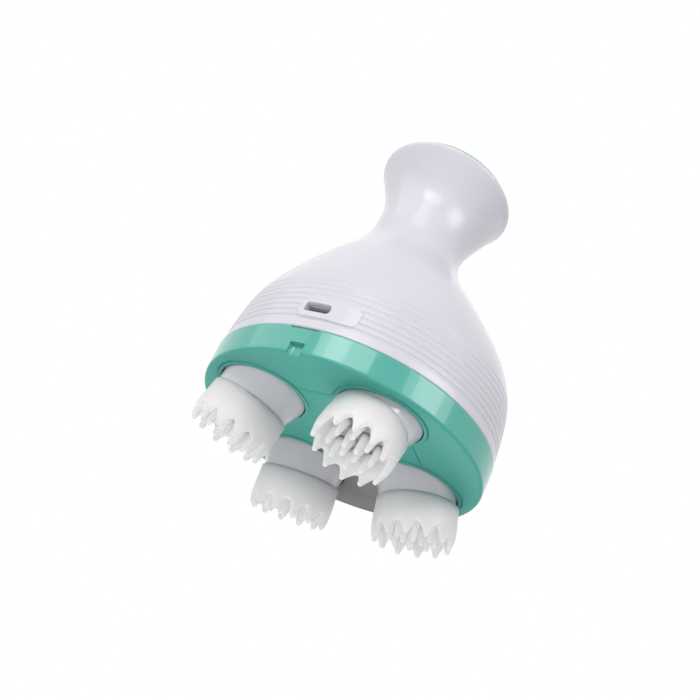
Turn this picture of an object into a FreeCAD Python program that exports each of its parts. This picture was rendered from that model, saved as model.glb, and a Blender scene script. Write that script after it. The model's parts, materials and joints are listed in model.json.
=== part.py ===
"""Rechargeable head massager: a parametric document of separate pieces.

Millimetres, Z up, standing on the claw tips at Z 0, with the charging port facing -Y.
Heights in the sheet are measured from the base face, the flat underside of the base ring.
"""

import FreeCAD
import Part
import Sketcher
import math
import os
import re
from FreeCAD import Placement, Rotation, Vector

X_AXIS = Vector(1, 0, 0)
Y_AXIS = Vector(0, 1, 0)
Z_AXIS = Vector(0, 0, 1)

# Each row is the alias of a driving dimension, its value and what it sets.
DIMENSIONS = [
    # Clearances
    ("seam_gap", 0.15, "gap between casing pieces"),
    ("fit_gap", 0.05, "gap between pieces that are seated on each other"),
    ("run_gap", 0.04, "radial clearance of a shaft that turns"),
    ("key_gap", 0.12, "radial clearance of the button in its hole"),
    ("level_gap", 0.5, "height between moving pieces and what they pass"),
    # Base ring
    ("ring_margin", 4.24, "width of the base ring outside the head holes"),
    ("ring_height", 9.7, "height of the base ring up to the seam"),
    ("ring_wall", 2.2, "wall of the base ring"),
    ("ring_round", 1.0, "rounding of the ring's lower edge"),
    ("web_thick", 2.5, "floor of the base ring"),
    ("snap_height", 7.7, "height of the snap bead in the ring"),
    ("snap_depth", 0.5, "depth of the snap bead"),
    ("notch_width", 5.0, "width of the front notch"),
    ("notch_height", 3.9, "height of the front notch"),
    ("notch_depth", 1.7, "depth of the front notch"),
    ("notch_round", 1.5, "rounding of the notch's inner corners"),
    ("slot_width", 9.4, "width of the pry slot in the seam"),
    ("slot_height", 0.75, "height of the pry slot"),
    ("slot_depth", 1.2, "depth of the pry slot"),
    # Base plate
    ("plate_thick", 2.4, "thickness of the base plate's disc"),
    ("hole_radius", 14.66, "radius of the four head holes"),
    ("hole_roof", 3.0, "height of the roof over each head hole"),
    ("lip_width", 1.1, "width of the raised lip round each hole"),
    ("lip_height", 0.4, "height of the raised lip"),
    ("clover_side", 27.4, "half width of the clover between its lobes"),
    ("clover_round", 3.0, "rounding where the clover's sides meet its lobes"),
    ("boss_height", 2.0, "height of the bush bosses above the plate"),
    ("boss_wall", 2.4, "wall of the bush bosses"),
    ("post_x", 15.0, "place of the plate posts across"),
    ("post_inset", 11.0, "distance of the plate posts from the ring's outside, fore and aft"),
    ("post_radius", 2.6, "radius of the plate posts"),
    ("board_post_x", 8.0, "place of the board posts across"),
    ("board_post_inset", 7.0, "distance of the board posts from the board's front edge"),
    ("board_post_radius", 2.0, "radius of the board posts"),
    ("seal_width", 1.5, "width of the base gasket"),
    ("seal_thick", 1.0, "thickness of the base gasket"),
    # Rear pad
    ("pad_thick", 0.8, "thickness of the rear pad"),
    ("pad_inset", 2.1, "distance of the rear pad from the ring's outside"),
    ("pad_start", 9.5, "front edge of the rear pad"),
    ("pad_half_width", 28.0, "half width of the rear pad"),
    ("pad_margin", 0.6, "margin between the pad and the hole lips"),
    # Heads
    ("hub_gap", 0.45, "gap between a hub and its hole"),
    ("head_tilt", 15.0, "tilt of each claw, in degrees"),
    ("pivot_height", 5.7, "height at which a claw's axis meets the head axis"),
    ("rim_drop", 11.6, "distance from that point down to the collar's end"),
    ("collar_radius", 12.6, "radius of the collar's end"),
    ("stub_radius", 8.0, "radius of the stub that carries a claw"),
    ("stub_length", 4.0, "length of the stub"),
    ("shaft_radius", 2.5, "radius of a head shaft"),
    ("shaft_depth", 5.7, "depth of a head shaft in its hub"),
    ("bush_wall", 1.5, "wall of a head bush"),
    ("seat_web", 1.8, "hub material between shaft end and screw head"),
    ("screw_shank", 1.2, "radius of a hub screw's shank"),
    ("screw_grip", 4.5, "length of a hub screw in the shaft"),
    ("screw_head", 2.6, "radius of a hub screw's head"),
    ("screw_head_height", 1.6, "height of a hub screw's head"),
    ("seal_ring_width", 1.4, "width of a head seal"),
    ("seal_ring_thick", 0.9, "thickness of a head seal"),
    # Claws
    ("claw_length", 13.7, "length of a claw from its rim to its tips"),
    ("claw_rim", 13.5, "outer radius of a claw's rim"),
    ("claw_belly", 13.7, "outer radius of a claw where its teeth begin"),
    ("claw_wall", 2.3, "wall of a claw"),
    ("claw_floor", 6.0, "depth of a claw's floor under its rim"),
    ("rim_round", 0.6, "rounding of a claw's rim"),
    ("tip_circle", 12.4, "radius of the circle of outer tips"),
    ("tooth_count", 12, "number of outer teeth"),
    ("tooth_length", 4.2, "length of the outer teeth"),
    ("tooth_tip", 1.9, "width of a tooth at its tip"),
    ("valley_width", 1.4, "width of the valley between teeth"),
    ("pin_length", 7.2, "length of the inner pins"),
    ("pin_foot", 1.5, "radius of a pin at its foot"),
    ("pin_tip", 0.9, "radius of a pin at its tip"),
    ("middle_count", 8, "number of pins in the middle ring"),
    ("middle_circle", 7.4, "radius of the middle ring of pins"),
    ("inner_count", 4, "number of pins in the inner ring"),
    ("inner_circle", 3.0, "radius of the inner ring of pins"),
    # Gears
    ("head_module", 0.8, "module of the head gears"),
    ("sun_teeth", 40, "teeth of the drive gear's lower wheel"),
    ("head_teeth", 34, "teeth of a head gear"),
    ("head_gear_width", 4.8, "width of the head gears"),
    ("second_module", 0.5, "module of the second stage"),
    ("wheel_teeth", 49, "teeth of the drive gear's upper wheel"),
    ("second_teeth", 14, "teeth of the reduction gear's pinion"),
    ("second_width", 4.0, "width of the second stage"),
    ("first_module", 0.4, "module of the first stage"),
    ("reduction_teeth", 56, "teeth of the reduction gear's wheel"),
    ("pinion_teeth", 14, "teeth of the motor pinion"),
    ("first_width", 3.0, "width of the first stage"),
    ("backlash", 0.07, "thinning of each tooth at the pitch circle"),
    ("drive_axle_radius", 2.0, "radius of the drive axle"),
    ("axle_press", 2.0, "depth of the drive axle in the base plate"),
    ("axle_head", 0.8, "overhang of an axle's head"),
    ("axle_head_height", 0.4, "height of an axle's head"),
    ("reduction_axle_radius", 1.5, "radius of the reduction axle"),
    # Motor and its plate
    ("motor_plate_inset", 6.5, "distance of the motor plate from the ring's outside"),
    ("motor_plate_thick", 2.0, "thickness of the motor plate"),
    ("cable_gap_width", 24.0, "width of the cable opening in the motor plate"),
    ("cable_gap_depth", 16.0, "depth of the cable opening in the motor plate"),
    ("motor_radius", 12.0, "radius of the motor can"),
    ("motor_room", 5.65, "height of the throat above the motor"),
    ("motor_boss", 3.5, "radius of the motor's front boss"),
    ("motor_boss_height", 1.6, "height of the motor's front boss"),
    ("motor_shaft_radius", 1.0, "radius of the motor shaft"),
    ("motor_shaft_depth", 6.0, "length of the motor shaft in the can"),
    ("motor_screw_pitch", 16.0, "distance between the motor screws"),
    ("small_screw", 1.0, "radius of a small screw's shank"),
    ("small_screw_head", 1.9, "radius of a small screw's head"),
    ("small_screw_head_height", 1.2, "height of a small screw's head"),
    ("small_screw_grip", 5.0, "length of a small screw in its post"),
    ("motor_screw_grip", 2.5, "length of a motor screw in the motor"),
    # Power and charging
    ("battery_radius", 7.1, "radius of the battery"),
    ("battery_length", 49.0, "length of the battery"),
    ("battery_y", 23.5, "place of the battery to the rear"),
    ("battery_margin", 6.9, "distance of the holder's corners from the ring's outside"),
    ("holder_wall", 1.6, "wall of the battery holder"),
    ("holder_height", 6.0, "height of the battery holder"),
    ("board_height", 14.9, "height of the main board's underside"),
    ("board_thick", 1.2, "thickness of a circuit board"),
    ("board_half_width", 11.5, "half width of the main board"),
    ("board_inset", 5.5, "distance of the main board from the ring's outside"),
    ("board_depth", 13.0, "depth of the main board"),
    ("usb_width", 8.5, "width of the charging socket"),
    ("usb_height", 3.0, "height of the charging socket"),
    ("usb_depth", 7.4, "depth of the charging socket"),
    ("usb_wall", 0.35, "wall of the charging socket"),
    ("usb_overhang", 2.9, "overhang of the socket beyond the board"),
    ("port_gap", 0.2, "gap between the socket and the port"),
    ("lead_radius", 0.9, "radius of the internal leads"),
    ("lead_bend", 5.0, "bend radius of the internal leads"),
    ("lead_inset", 2.5, "distance of the leads from the main board's rear edge"),
    ("lead_spread", 4.0, "distance of the leads from the middle plane"),
    ("lead_rise", 7.0, "rise of the motor lead above the motor"),
    # Body shell
    ("shell_wall", 2.4, "wall of the body shell"),
    ("spigot_wall", 1.4, "wall of the shell's spigot in the ring"),
    ("spigot_rise", 3.0, "rise of the spigot inside the shell"),
    ("seam_step", 0.3, "step of the shell behind the ring at the seam"),
    ("hem_height", 14.0, "height of the start of the ribbed flank"),
    ("hem_step", 0.6, "step of the shell behind the ring there"),
    ("flank_height", 20.0, "height of the middle of the ribbed flank"),
    ("flank_step", 1.2, "step of the shell behind the ring there"),
    ("rib_end_height", 32.0, "height of the end of the ribbed flank"),
    ("rib_end_step", 3.8, "step of the shell behind the ring there"),
    ("shoulder_share", 0.154, "place of the shoulder between the ribbed flank and the top"),
    ("shoulder_width", 0.704, "width of the shell there between neck and ring"),
    ("shoulder_offset", 1.4, "forward offset of the shell there"),
    ("slope_share", 0.309, "place of the middle of the slope between the ribbed flank and the top"),
    ("slope_width", 0.399, "width of the shell there between neck and ring"),
    ("slope_offset", 5.2, "forward offset of the shell there"),
    ("throat_share", 0.44, "place of the top of the slope between the ribbed flank and the top"),
    ("throat_width", 0.128, "width of the shell there between neck and ring"),
    ("throat_offset", 8.2, "forward offset of the shell there"),
    ("neck_share", 0.602, "place of the neck between the ribbed flank and the top"),
    ("neck_radius", 15.7, "shell radius at the neck"),
    ("neck_offset", 10.0, "forward offset of the neck"),
    ("grip_share", 0.816, "place of the lower flare between the ribbed flank and the top"),
    ("grip_radius", 18.1, "shell radius there"),
    ("grip_offset", 8.3, "forward offset of the shell there"),
    ("top_height", 96.8, "height of the handle's top"),
    ("top_offset", 7.8, "forward offset of the handle's top"),
    ("top_corner", 24.3, "radius at the handle's top before its edge is rounded"),
    ("top_round", 1.4, "rounding of the handle's top edge"),
    ("crown_depth", 3.5, "depth of the turned crown at the handle's top"),
    ("crown_radius", 22.1, "shell radius under the crown"),
    ("top_wall", 2.4, "wall of the handle's top"),
    ("handle_lean", 9.6, "backward lean of the handle's top, in degrees"),
    ("rib_count", 8, "number of grooves in the flank"),
    ("rib_first", 13.6, "height of the lowest groove"),
    ("rib_pitch", 2.28, "distance between grooves"),
    ("rib_radius", 0.9, "radius of a groove"),
    ("rib_depth", 0.38, "depth of a groove"),
    ("panel_rise", 0.25, "rise of the port panel above the flank"),
    ("panel_round", 2.2, "rounding of the port panel's corners"),
    ("panel_left", 6.2, "reach of the port panel to the left"),
    ("panel_right", 14.2, "reach of the port panel to the right"),
    ("panel_low", 13.9, "lower edge of the port panel"),
    ("panel_high", 21.2, "upper edge of the port panel"),
    # Top cap and button
    ("cap_inset", 1.45, "distance of the top cap from the handle's top corner"),
    ("cap_step", 1.05, "height of the top cap above the handle's top"),
    ("cap_round", 0.4, "rounding of the top cap's edge"),
    ("cap_plate", 1.0, "depth of the cap's plate in the handle"),
    ("skirt_radius", 16.8, "outer radius of the cap's skirt"),
    ("skirt_wall", 1.5, "wall of the cap's skirt"),
    ("skirt_depth", 4.5, "depth of the cap's skirt"),
    ("button_radius", 7.0, "radius of the power button"),
    ("button_sink", 0.3, "depth of the button's face under the cap's face"),
    ("button_travel", 0.7, "travel of the power button"),
    ("button_flange", 1.3, "width of the button's flange"),
    ("button_flange_height", 1.2, "height of the button's flange"),
    ("button_stem", 1.5, "radius of the button's stem"),
    ("button_stem_length", 1.6, "length of the button's stem"),
    ("switch_size", 6.0, "width of the switch"),
    ("switch_height", 3.0, "height of the switch"),
    ("switch_board_radius", 13.4, "radius of the switch board"),
    ("cap_boss_x", 11.3, "place of the cap's bosses"),
    ("cap_boss_radius", 2.1, "radius of the cap's bosses"),
]

# Each row is the alias of a size that follows from others, its formula and what it sets.
FOLLOWING = [
    ("head_circle", "head_module * (sun_teeth + head_teeth) / 2", "radius of the circle of head axes"),
    ("holder_end", "battery_length / 2 + holder_wall", "half length of the battery holder"),
    ("holder_rear", "battery_y + battery_radius + holder_wall", "rear edge of the battery holder"),
    ("holder_reach", "sqrt(holder_end * holder_end + holder_rear * holder_rear)", "distance of the holder's corners"),
    ("heads_reach", "head_circle + hole_radius", "distance of the outermost point of a head hole"),
    ("ring_radius", "max(heads_reach + ring_margin; holder_reach + battery_margin)", "outer radius of the base ring"),
    ("post_y", "ring_radius - post_inset", "place of the plate posts fore and aft"),
    ("pad_radius", "ring_radius - pad_inset", "outer radius of the rear pad"),
    ("motor_plate_radius", "ring_radius - motor_plate_inset", "radius of the motor plate"),
    ("board_front", "ring_radius - board_inset", "front edge of the main board"),
    ("board_post_y", "board_front - board_post_inset", "place of the board posts to the front"),
    ("seam_radius", "ring_radius - seam_step", "shell radius at the seam"),
    ("hem_radius", "ring_radius - hem_step", "shell radius at the start of the ribbed flank"),
    ("flank_radius", "ring_radius - flank_step", "shell radius at the middle of the ribbed flank"),
    ("rib_end_radius", "ring_radius - rib_end_step", "shell radius at the end of the ribbed flank"),
    ("bell_width", "ring_radius - neck_radius", "step from the neck out to the ring"),
    ("shoulder_radius", "neck_radius + shoulder_width * bell_width", "shell radius at the shoulder"),
    ("slope_radius", "neck_radius + slope_width * bell_width", "shell radius at the middle of the slope"),
    ("throat_radius", "neck_radius + throat_width * bell_width", "shell radius at the top of the slope"),
    ("upper_height", "top_height - rib_end_height", "height of the shell above the ribbed flank"),
    ("shoulder_height", "rib_end_height + shoulder_share * upper_height", "height of the shoulder"),
    ("slope_height", "rib_end_height + slope_share * upper_height", "height of the middle of the slope"),
    ("throat_height", "rib_end_height + throat_share * upper_height", "height of the top of the slope"),
    ("neck_height", "rib_end_height + neck_share * upper_height", "height of the neck"),
    ("grip_height", "rib_end_height + grip_share * upper_height", "height of the lower flare"),
    ("cap_radius", "top_corner - cap_inset", "radius of the top cap"),
]
ALIASES = {row[0] for row in DIMENSIONS + FOLLOWING}

# Each head has a name, the signs of its place and the direction in which its claw leans at rest.
HEADS = [
    ("front_left", -1, -1, 166.0),
    ("front_right", 1, -1, 262.0),
    ("rear_left", -1, 1, 97.0),
    ("rear_right", 1, 1, 40.0),
]

doc = FreeCAD.newDocument("head_massager")
sheet = doc.addObject("Spreadsheet::Sheet", "dims")
for row, (alias, value, note) in enumerate(DIMENSIONS + FOLLOWING, start=1):
    sheet.set(f"A{row}", note)
    sheet.set(f"B{row}", f"={value}")
    sheet.setAlias(f"B{row}", alias)
doc.recompute()

nodes = []


def linked(text):
    """Return an expression in which each alias is read from the sheet."""
    return re.sub(r"[a-z][a-z0-9_]*", lambda word: f"dims.{word[0]}" if word[0] in ALIASES else word[0], text)


def val(text):
    """Return the present value of an expression."""
    return float(sheet.evalExpression(linked(text)))


# Places and sizes that follow from the driving dimensions, as expressions.
BASE_Z = "((rim_drop + claw_length) * cos(head_tilt) + tip_circle * sin(head_tilt) - pivot_height)"
HEAD_XY = "(head_circle / sqrt(2))"
REDUCTION_Y = "(second_module * (wheel_teeth + second_teeth) / 2)"
MOTOR_Y = f"({REDUCTION_Y} - first_module * (reduction_teeth + pinion_teeth) / 2)"
RING_BORE = "(ring_radius - ring_wall)"
DISC_Z = "(web_thick + fit_gap)"
DISC_TOP = f"({DISC_Z} + plate_thick)"
DISC_RADIUS = f"({RING_BORE} - 2 * seam_gap)"
LOBE_RADIUS = "(hole_radius + lip_width)"
HUB_RADIUS = "(hole_radius - hub_gap)"
HUB_TOP = "(hole_roof - level_gap)"
BUSH_RADIUS = "(shaft_radius + run_gap + bush_wall)"
BUSH_TOP = f"({DISC_TOP} + boss_height)"
GEAR_Z = f"({BUSH_TOP} + level_gap)"
GEAR_TOP = f"({GEAR_Z} + head_gear_width)"
SECOND_Z = f"({GEAR_TOP} + 2 * level_gap)"
SECOND_TOP = f"({SECOND_Z} + second_width)"
FIRST_Z = f"({SECOND_TOP} + axle_head_height + level_gap)"
FIRST_TOP = f"({FIRST_Z} + first_width)"
MOTOR_PLATE_Z = f"({FIRST_TOP} + small_screw_head_height + level_gap)"
MOTOR_Z = f"({MOTOR_PLATE_Z} + motor_plate_thick)"
MOTOR_LENGTH = f"(throat_height - motor_room - {MOTOR_Z})"
BATTERY_Z = f"({MOTOR_Z} + holder_wall + battery_radius + fit_gap)"
SEAL_Z = f"({DISC_TOP} + fit_gap)"
BOARD_TOP = "(board_height + board_thick)"
USB_Y = "(board_front + usb_overhang - usb_depth)"


def bind(item, prop, text):
    """Bind a property of a document object to an expression of the sheet."""
    item.setExpression(prop, linked(text))


def node(item, name):
    """Name a finished piece and list it for writing."""
    item.Label = name
    nodes.append(item)
    return item


def stand(item, x="0", y="0", z="0"):
    """Place a piece whose heights count from the base face."""
    bind(item, "Placement.Base.x", x)
    bind(item, "Placement.Base.y", y)
    bind(item, "Placement.Base.z", f"{BASE_Z} + {z}")
    return item


def top_frame(item):
    """Place a piece whose heights count from the handle's leaning top face."""
    item.Placement = Placement(Vector(0, 0, 0), Rotation(X_AXIS, -val("handle_lean")))
    return stand(item, y="-top_offset", z="top_height")


# Part primitives and booleans

def cylinder(name, radius, height, x="0", y="0", z="0"):
    """Upright cylinder from z up."""
    item = doc.addObject("Part::Cylinder", name)
    for prop, text in (("Radius", radius), ("Height", height)):
        bind(item, prop, text)
    for prop, text in (("x", x), ("y", y), ("z", z)):
        bind(item, f"Placement.Base.{prop}", text)
    return item


def box(name, size, corner):
    """Box from its three sizes and its least corner."""
    item = doc.addObject("Part::Box", name)
    for prop, text in zip(("Length", "Width", "Height"), size):
        bind(item, prop, text)
    for prop, text in zip("xyz", corner):
        bind(item, f"Placement.Base.{prop}", text)
    return item


def cut(name, base, tool):
    """Base without tool."""
    item = doc.addObject("Part::Cut", name)
    item.Base = base
    item.Tool = tool
    return item


def fuse(name, shapes):
    """One solid from several."""
    item = doc.addObject("Part::MultiFuse", name)
    item.Shapes = shapes
    return item


def common(name, shapes):
    """What several solids share."""
    item = doc.addObject("Part::MultiCommon", name)
    item.Shapes = shapes
    return item


def group(name, shapes):
    """Separate solids kept as one piece of the parts list."""
    item = doc.addObject("Part::Compound", name)
    item.Links = shapes
    return item


def screw(name, x, y, seat, grip, head_up=True):
    """Small screw whose head bears on the seat height and whose shank runs the grip."""
    shank_z = f"{seat} - ({grip})" if head_up else seat
    head_z = seat if head_up else f"{seat} - small_screw_head_height"
    shank = cylinder(name + "_shank", "small_screw", grip, x, y, shank_z)
    head = cylinder(name + "_head", "small_screw_head", "small_screw_head_height", x, y, head_z)
    return fuse(name, [shank, head])


# Part design features

def new_body(name):
    """Empty body for one piece."""
    return doc.addObject("PartDesign::Body", name)


def origin(body, role):
    """Plane or axis of a body's own origin."""
    return [item for item in body.Origin.OriginFeatures if item.Role == role][0]


def new_sketch(body, name, plane="XY_Plane", lift="0"):
    """Sketch on a plane of the body, lifted along that plane's normal."""
    sketch = body.newObject("Sketcher::SketchObject", name)
    sketch.AttachmentSupport = [(origin(body, plane), "")]
    sketch.MapMode = "FlatFace"
    bind(sketch, "AttachmentOffset.Base.z", lift)
    return sketch


def pin_point(sketch, geometry, position, across, up):
    """Fix a point of a sketch by expressions for its two coordinates."""
    for kind, text, axis in (("DistanceX", across, -2), ("DistanceY", up, -1)):
        value = val(text)
        if abs(value) < 1e-9:
            sketch.addConstraint(Sketcher.Constraint("PointOnObject", geometry, position, axis))
            continue
        index = sketch.addConstraint(Sketcher.Constraint(kind, -1, 1, geometry, position, value))
        sketch.setExpression(f"Constraints[{index}]", linked(text))


def draw_polygon(sketch, points):
    """Closed polygon through corners given as pairs of expressions."""
    first = sketch.GeometryCount
    corners = [Vector(val(across), val(up), 0) for across, up in points]
    count = len(corners)
    for index, corner in enumerate(corners):
        sketch.addGeometry(Part.LineSegment(corner, corners[(index + 1) % count]))
    for index in range(count):
        following = first + (index + 1) % count
        sketch.addConstraint(Sketcher.Constraint("Coincident", first + index, 2, following, 1))
    for index, (across, up) in enumerate(points):
        pin_point(sketch, first + index, 1, across, up)
    return sketch


def draw_circle(sketch, radius, across="0", up="0"):
    """Circle with its radius and centre given as expressions."""
    centre = Vector(val(across), val(up), 0)
    index = sketch.addGeometry(Part.Circle(centre, Z_AXIS, val(radius)))
    constraint = sketch.addConstraint(Sketcher.Constraint("Radius", index, val(radius)))
    sketch.setExpression(f"Constraints[{constraint}]", linked(radius))
    pin_point(sketch, index, 3, across, up)
    return sketch


def draw_head_circles(sketch, radius):
    """One circle on each of the four head axes."""
    for name, side, aft, lean in HEADS:
        draw_circle(sketch, radius, f"{side} * {HEAD_XY}", f"{aft} * {HEAD_XY}")
    return sketch


def draw_rectangle(sketch, left, right, low, high):
    """Rectangle from expressions for its four sides."""
    return draw_polygon(sketch, [(left, low), (right, low), (right, high), (left, high)])


def turn(body, name, profile, leaning=False):
    """Profile of (radius, height) pairs turned about Z, or about the leaning axis of the handle's top."""
    sketch = draw_polygon(new_sketch(body, name + "_profile", "XZ_Plane"), profile)
    if leaning:
        sketch.AttachmentOffset = Placement(Vector(0, 0, 0), Rotation(X_AXIS, -val("handle_lean")))
        bind(sketch, "AttachmentOffset.Base.y", "top_height")
        bind(sketch, "AttachmentOffset.Base.z", "top_offset")
    feature = body.newObject("PartDesign::Revolution", name)
    feature.Profile = sketch
    feature.ReferenceAxis = (sketch, ["V_Axis"])
    feature.Angle = 360
    return feature


def pad(body, sketch, length, reverse=False):
    """Sketch raised along its normal."""
    feature = body.newObject("PartDesign::Pad", sketch.Name + "_pad")
    feature.Profile = sketch
    bind(feature, "Length", length)
    feature.Reversed = reverse
    return feature


def pocket(body, sketch, length, reverse=False):
    """Sketch cut against its normal, or along it if reversed."""
    feature = body.newObject("PartDesign::Pocket", sketch.Name + "_pocket")
    feature.Profile = sketch
    bind(feature, "Length", length)
    feature.Reversed = reverse
    return feature


def round_edges(body, name, radius, wanted):
    """Round the edges of the body's last feature that pass a test."""
    doc.recompute()
    last = body.Tip
    edges = [f"Edge{i}" for i, edge in enumerate(last.Shape.Edges, start=1) if wanted(edge)]
    feature = body.newObject("PartDesign::Fillet", name)
    feature.Base = (last, edges)
    bind(feature, "Radius", radius)
    return feature


def polar(body, feature, count):
    """Feature repeated round the body's Z axis."""
    pattern = body.newObject("PartDesign::PolarPattern", feature.Name + "_ring")
    pattern.Originals = [feature]
    pattern.Axis = (origin(body, "Z_Axis"), [""])
    pattern.Angle = 360
    bind(pattern, "Occurrences", count)
    body.Tip = pattern
    return pattern


def is_upright(edge):
    """True for a straight edge along Z."""
    return isinstance(edge.Curve, Part.Line) and abs(edge.Curve.Direction.z) > 0.999


def is_at_y(edge, y):
    """Tell whether an edge lies at one place fore and aft."""
    return max(abs(point.Point.y - y) for point in edge.Vertexes) < 0.01


def is_fore_and_aft(edge):
    """True for a straight edge along Y."""
    return isinstance(edge.Curve, Part.Line) and abs(edge.Curve.Direction.y) > 0.999


def has_radius(edge, radius):
    """True for a circle of this radius."""
    return isinstance(edge.Curve, Part.Circle) and abs(edge.Curve.Radius - radius) < 1e-3


def on_circle(edge, radius, height):
    """True for a circle of this radius at this height."""
    return has_radius(edge, radius) and abs(edge.Curve.Center.z - height) < 1e-3


# Base

def make_base_ring():
    """Ring with a floor, a clover opening, a snap bead, a front notch and a pry slot."""
    body = new_body("base_ring")
    turn(body, "ring_turn", [
        ("0", "0"),
        ("ring_radius", "0"),
        ("ring_radius", "ring_height"),
        (RING_BORE, "ring_height"),
        (RING_BORE, "snap_height + snap_depth"),
        (f"{RING_BORE} - snap_depth", "snap_height"),
        (RING_BORE, "snap_height - snap_depth"),
        (RING_BORE, "web_thick"),
        ("0", "web_thick"),
    ])
    round_edges(body, "ring_lower_edge", "ring_round", lambda edge: on_circle(edge, val("ring_radius"), 0))
    side = "clover_side + seam_gap"
    square = draw_rectangle(new_sketch(body, "clover_square"), f"-({side})", side, f"-({side})", side)
    pocket(body, square, "web_thick", reverse=True)
    lobes = draw_head_circles(new_sketch(body, "clover_lobes"), f"{LOBE_RADIUS} + seam_gap")
    pocket(body, lobes, "web_thick", reverse=True)
    round_edges(body, "clover_corners", "clover_round - seam_gap", is_upright)
    notch = new_sketch(body, "front_notch", "XZ_Plane", "ring_radius - notch_depth")
    draw_rectangle(notch, "-notch_width / 2", "notch_width / 2", "-1", "notch_height")
    pocket(body, notch, "notch_depth + 1", reverse=True)
    floor = -val("ring_radius - notch_depth")
    round_edges(body, "notch_corners", "notch_round", lambda edge: is_upright(edge) and is_at_y(edge, floor))
    slot = new_sketch(body, "pry_slot", "XZ_Plane", "ring_radius - slot_depth")
    draw_rectangle(slot, "-slot_width / 2", "slot_width / 2", "ring_height - slot_height", "ring_height + 1")
    pocket(body, slot, "slot_depth + 1", reverse=True)
    stand(body)
    return node(body, "base_ring")


def make_base_plate():
    """Clover plate with lips, bosses and posts, which carries the gears and the heads."""
    body = new_body("base_plate")
    turn(body, "disc", [("0", DISC_Z), (DISC_RADIUS, DISC_Z), (DISC_RADIUS, DISC_TOP), ("0", DISC_TOP)])
    square = new_sketch(body, "plate_square")
    draw_rectangle(square, "-clover_side", "clover_side", "-clover_side", "clover_side")
    pad(body, square, DISC_Z)
    pad(body, draw_head_circles(new_sketch(body, "plate_lobes"), LOBE_RADIUS), DISC_Z)
    round_edges(body, "plate_corners", "clover_round", is_upright)
    pad(body, draw_head_circles(new_sketch(body, "lips"), LOBE_RADIUS), "lip_height", reverse=True)
    bosses = draw_head_circles(new_sketch(body, "bush_bosses", lift=DISC_TOP), f"{BUSH_RADIUS} + boss_wall")
    draw_circle(bosses, "drive_axle_radius + boss_wall")
    pad(body, bosses, "boss_height")
    posts = new_sketch(body, "plate_posts", lift=DISC_TOP)
    for side in (-1, 1):
        for aft in (-1, 1):
            draw_circle(posts, "post_radius", f"{side} * post_x", f"{aft} * post_y")
    pad(body, posts, f"{MOTOR_PLATE_Z} - {DISC_TOP}")
    board_posts = new_sketch(body, "board_posts", lift=DISC_TOP)
    for side in (-1, 1):
        draw_circle(board_posts, "board_post_radius", f"{side} * board_post_x", "-board_post_y")
    pad(body, board_posts, f"board_height - {DISC_TOP}")
    holes = draw_head_circles(new_sketch(body, "head_holes", lift="-lip_height"), "hole_radius")
    pocket(body, holes, "lip_height + hole_roof", reverse=True)
    bores = draw_head_circles(new_sketch(body, "bush_bores", lift=BUSH_TOP), BUSH_RADIUS)
    pocket(body, bores, f"{BUSH_TOP} - hole_roof")
    seats = draw_head_circles(new_sketch(body, "seal_seats", lift="hole_roof"), f"{BUSH_RADIUS} + seal_ring_width")
    pocket(body, seats, "seal_ring_thick", reverse=True)
    axle = draw_circle(new_sketch(body, "axle_bore", lift=BUSH_TOP), "drive_axle_radius")
    pocket(body, axle, "axle_press")
    threads = new_sketch(body, "post_threads", lift=MOTOR_PLATE_Z)
    for side in (-1, 1):
        for aft in (-1, 1):
            draw_circle(threads, "small_screw + fit_gap", f"{side} * post_x", f"{aft} * post_y")
    pocket(body, threads, "small_screw_grip + fit_gap")
    board_threads = new_sketch(body, "board_threads", lift="board_height")
    for side in (-1, 1):
        draw_circle(board_threads, "small_screw + fit_gap", f"{side} * board_post_x", "-board_post_y")
    pocket(body, board_threads, "small_screw_grip + fit_gap")
    stand(body)
    return node(body, "base_plate")


def make_base_seal():
    """Flat gasket between the base plate and the shell's spigot."""
    body = new_body("base_seal")
    inner = f"{DISC_RADIUS} - seal_width"
    top = f"{SEAL_Z} + seal_thick"
    turn(body, "gasket", [(inner, SEAL_Z), (DISC_RADIUS, SEAL_Z), (DISC_RADIUS, top), (inner, top)])
    stand(body)
    return node(body, "base_seal")


def make_rear_pad():
    """Thin pad between the two rear holes, out to the edge of the base face."""
    disc = cylinder("pad_disc", "pad_radius", "pad_thick", z="-pad_thick - fit_gap")
    size = ("2 * pad_half_width", "pad_radius - pad_start", "pad_thick")
    field = box("pad_field", size, ("-pad_half_width", "pad_start", "-pad_thick - fit_gap"))
    blank = common("pad_blank", [disc, field])
    lips = []
    for name, side, aft, lean in HEADS:
        if aft > 0:
            place = (f"{side} * {HEAD_XY}", HEAD_XY, "-lip_height - 1")
            lips.append(cylinder(f"pad_lip_{name}", f"{LOBE_RADIUS} + pad_margin", "lip_height + 2", *place))
    return node(stand(cut("rear_pad", blank, fuse("pad_lips", lips))), "rear_pad")


# Heads

def head_place(side, aft, lean, z="0"):
    """Placement on a head axis, turned so that X points where the claw leans."""
    reach = val(HEAD_XY)
    return Placement(Vector(side * reach, aft * reach, val(f"{BASE_Z} + {z}")), Rotation(Z_AXIS, lean))


def claw_place(side, aft, lean):
    """Placement at the collar's end, with Z running down the tilted axis of the claw."""
    offset = Vector(val("rim_drop * sin(head_tilt)"), 0, val("pivot_height - rim_drop * cos(head_tilt)"))
    tilted = Placement(offset, Rotation(Y_AXIS, 180 - val("head_tilt")))
    tooth_down = Placement(Vector(0, 0, 0), Rotation(Z_AXIS, 180 / val("tooth_count")))
    return head_place(side, aft, lean).multiply(tilted).multiply(tooth_down)


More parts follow.
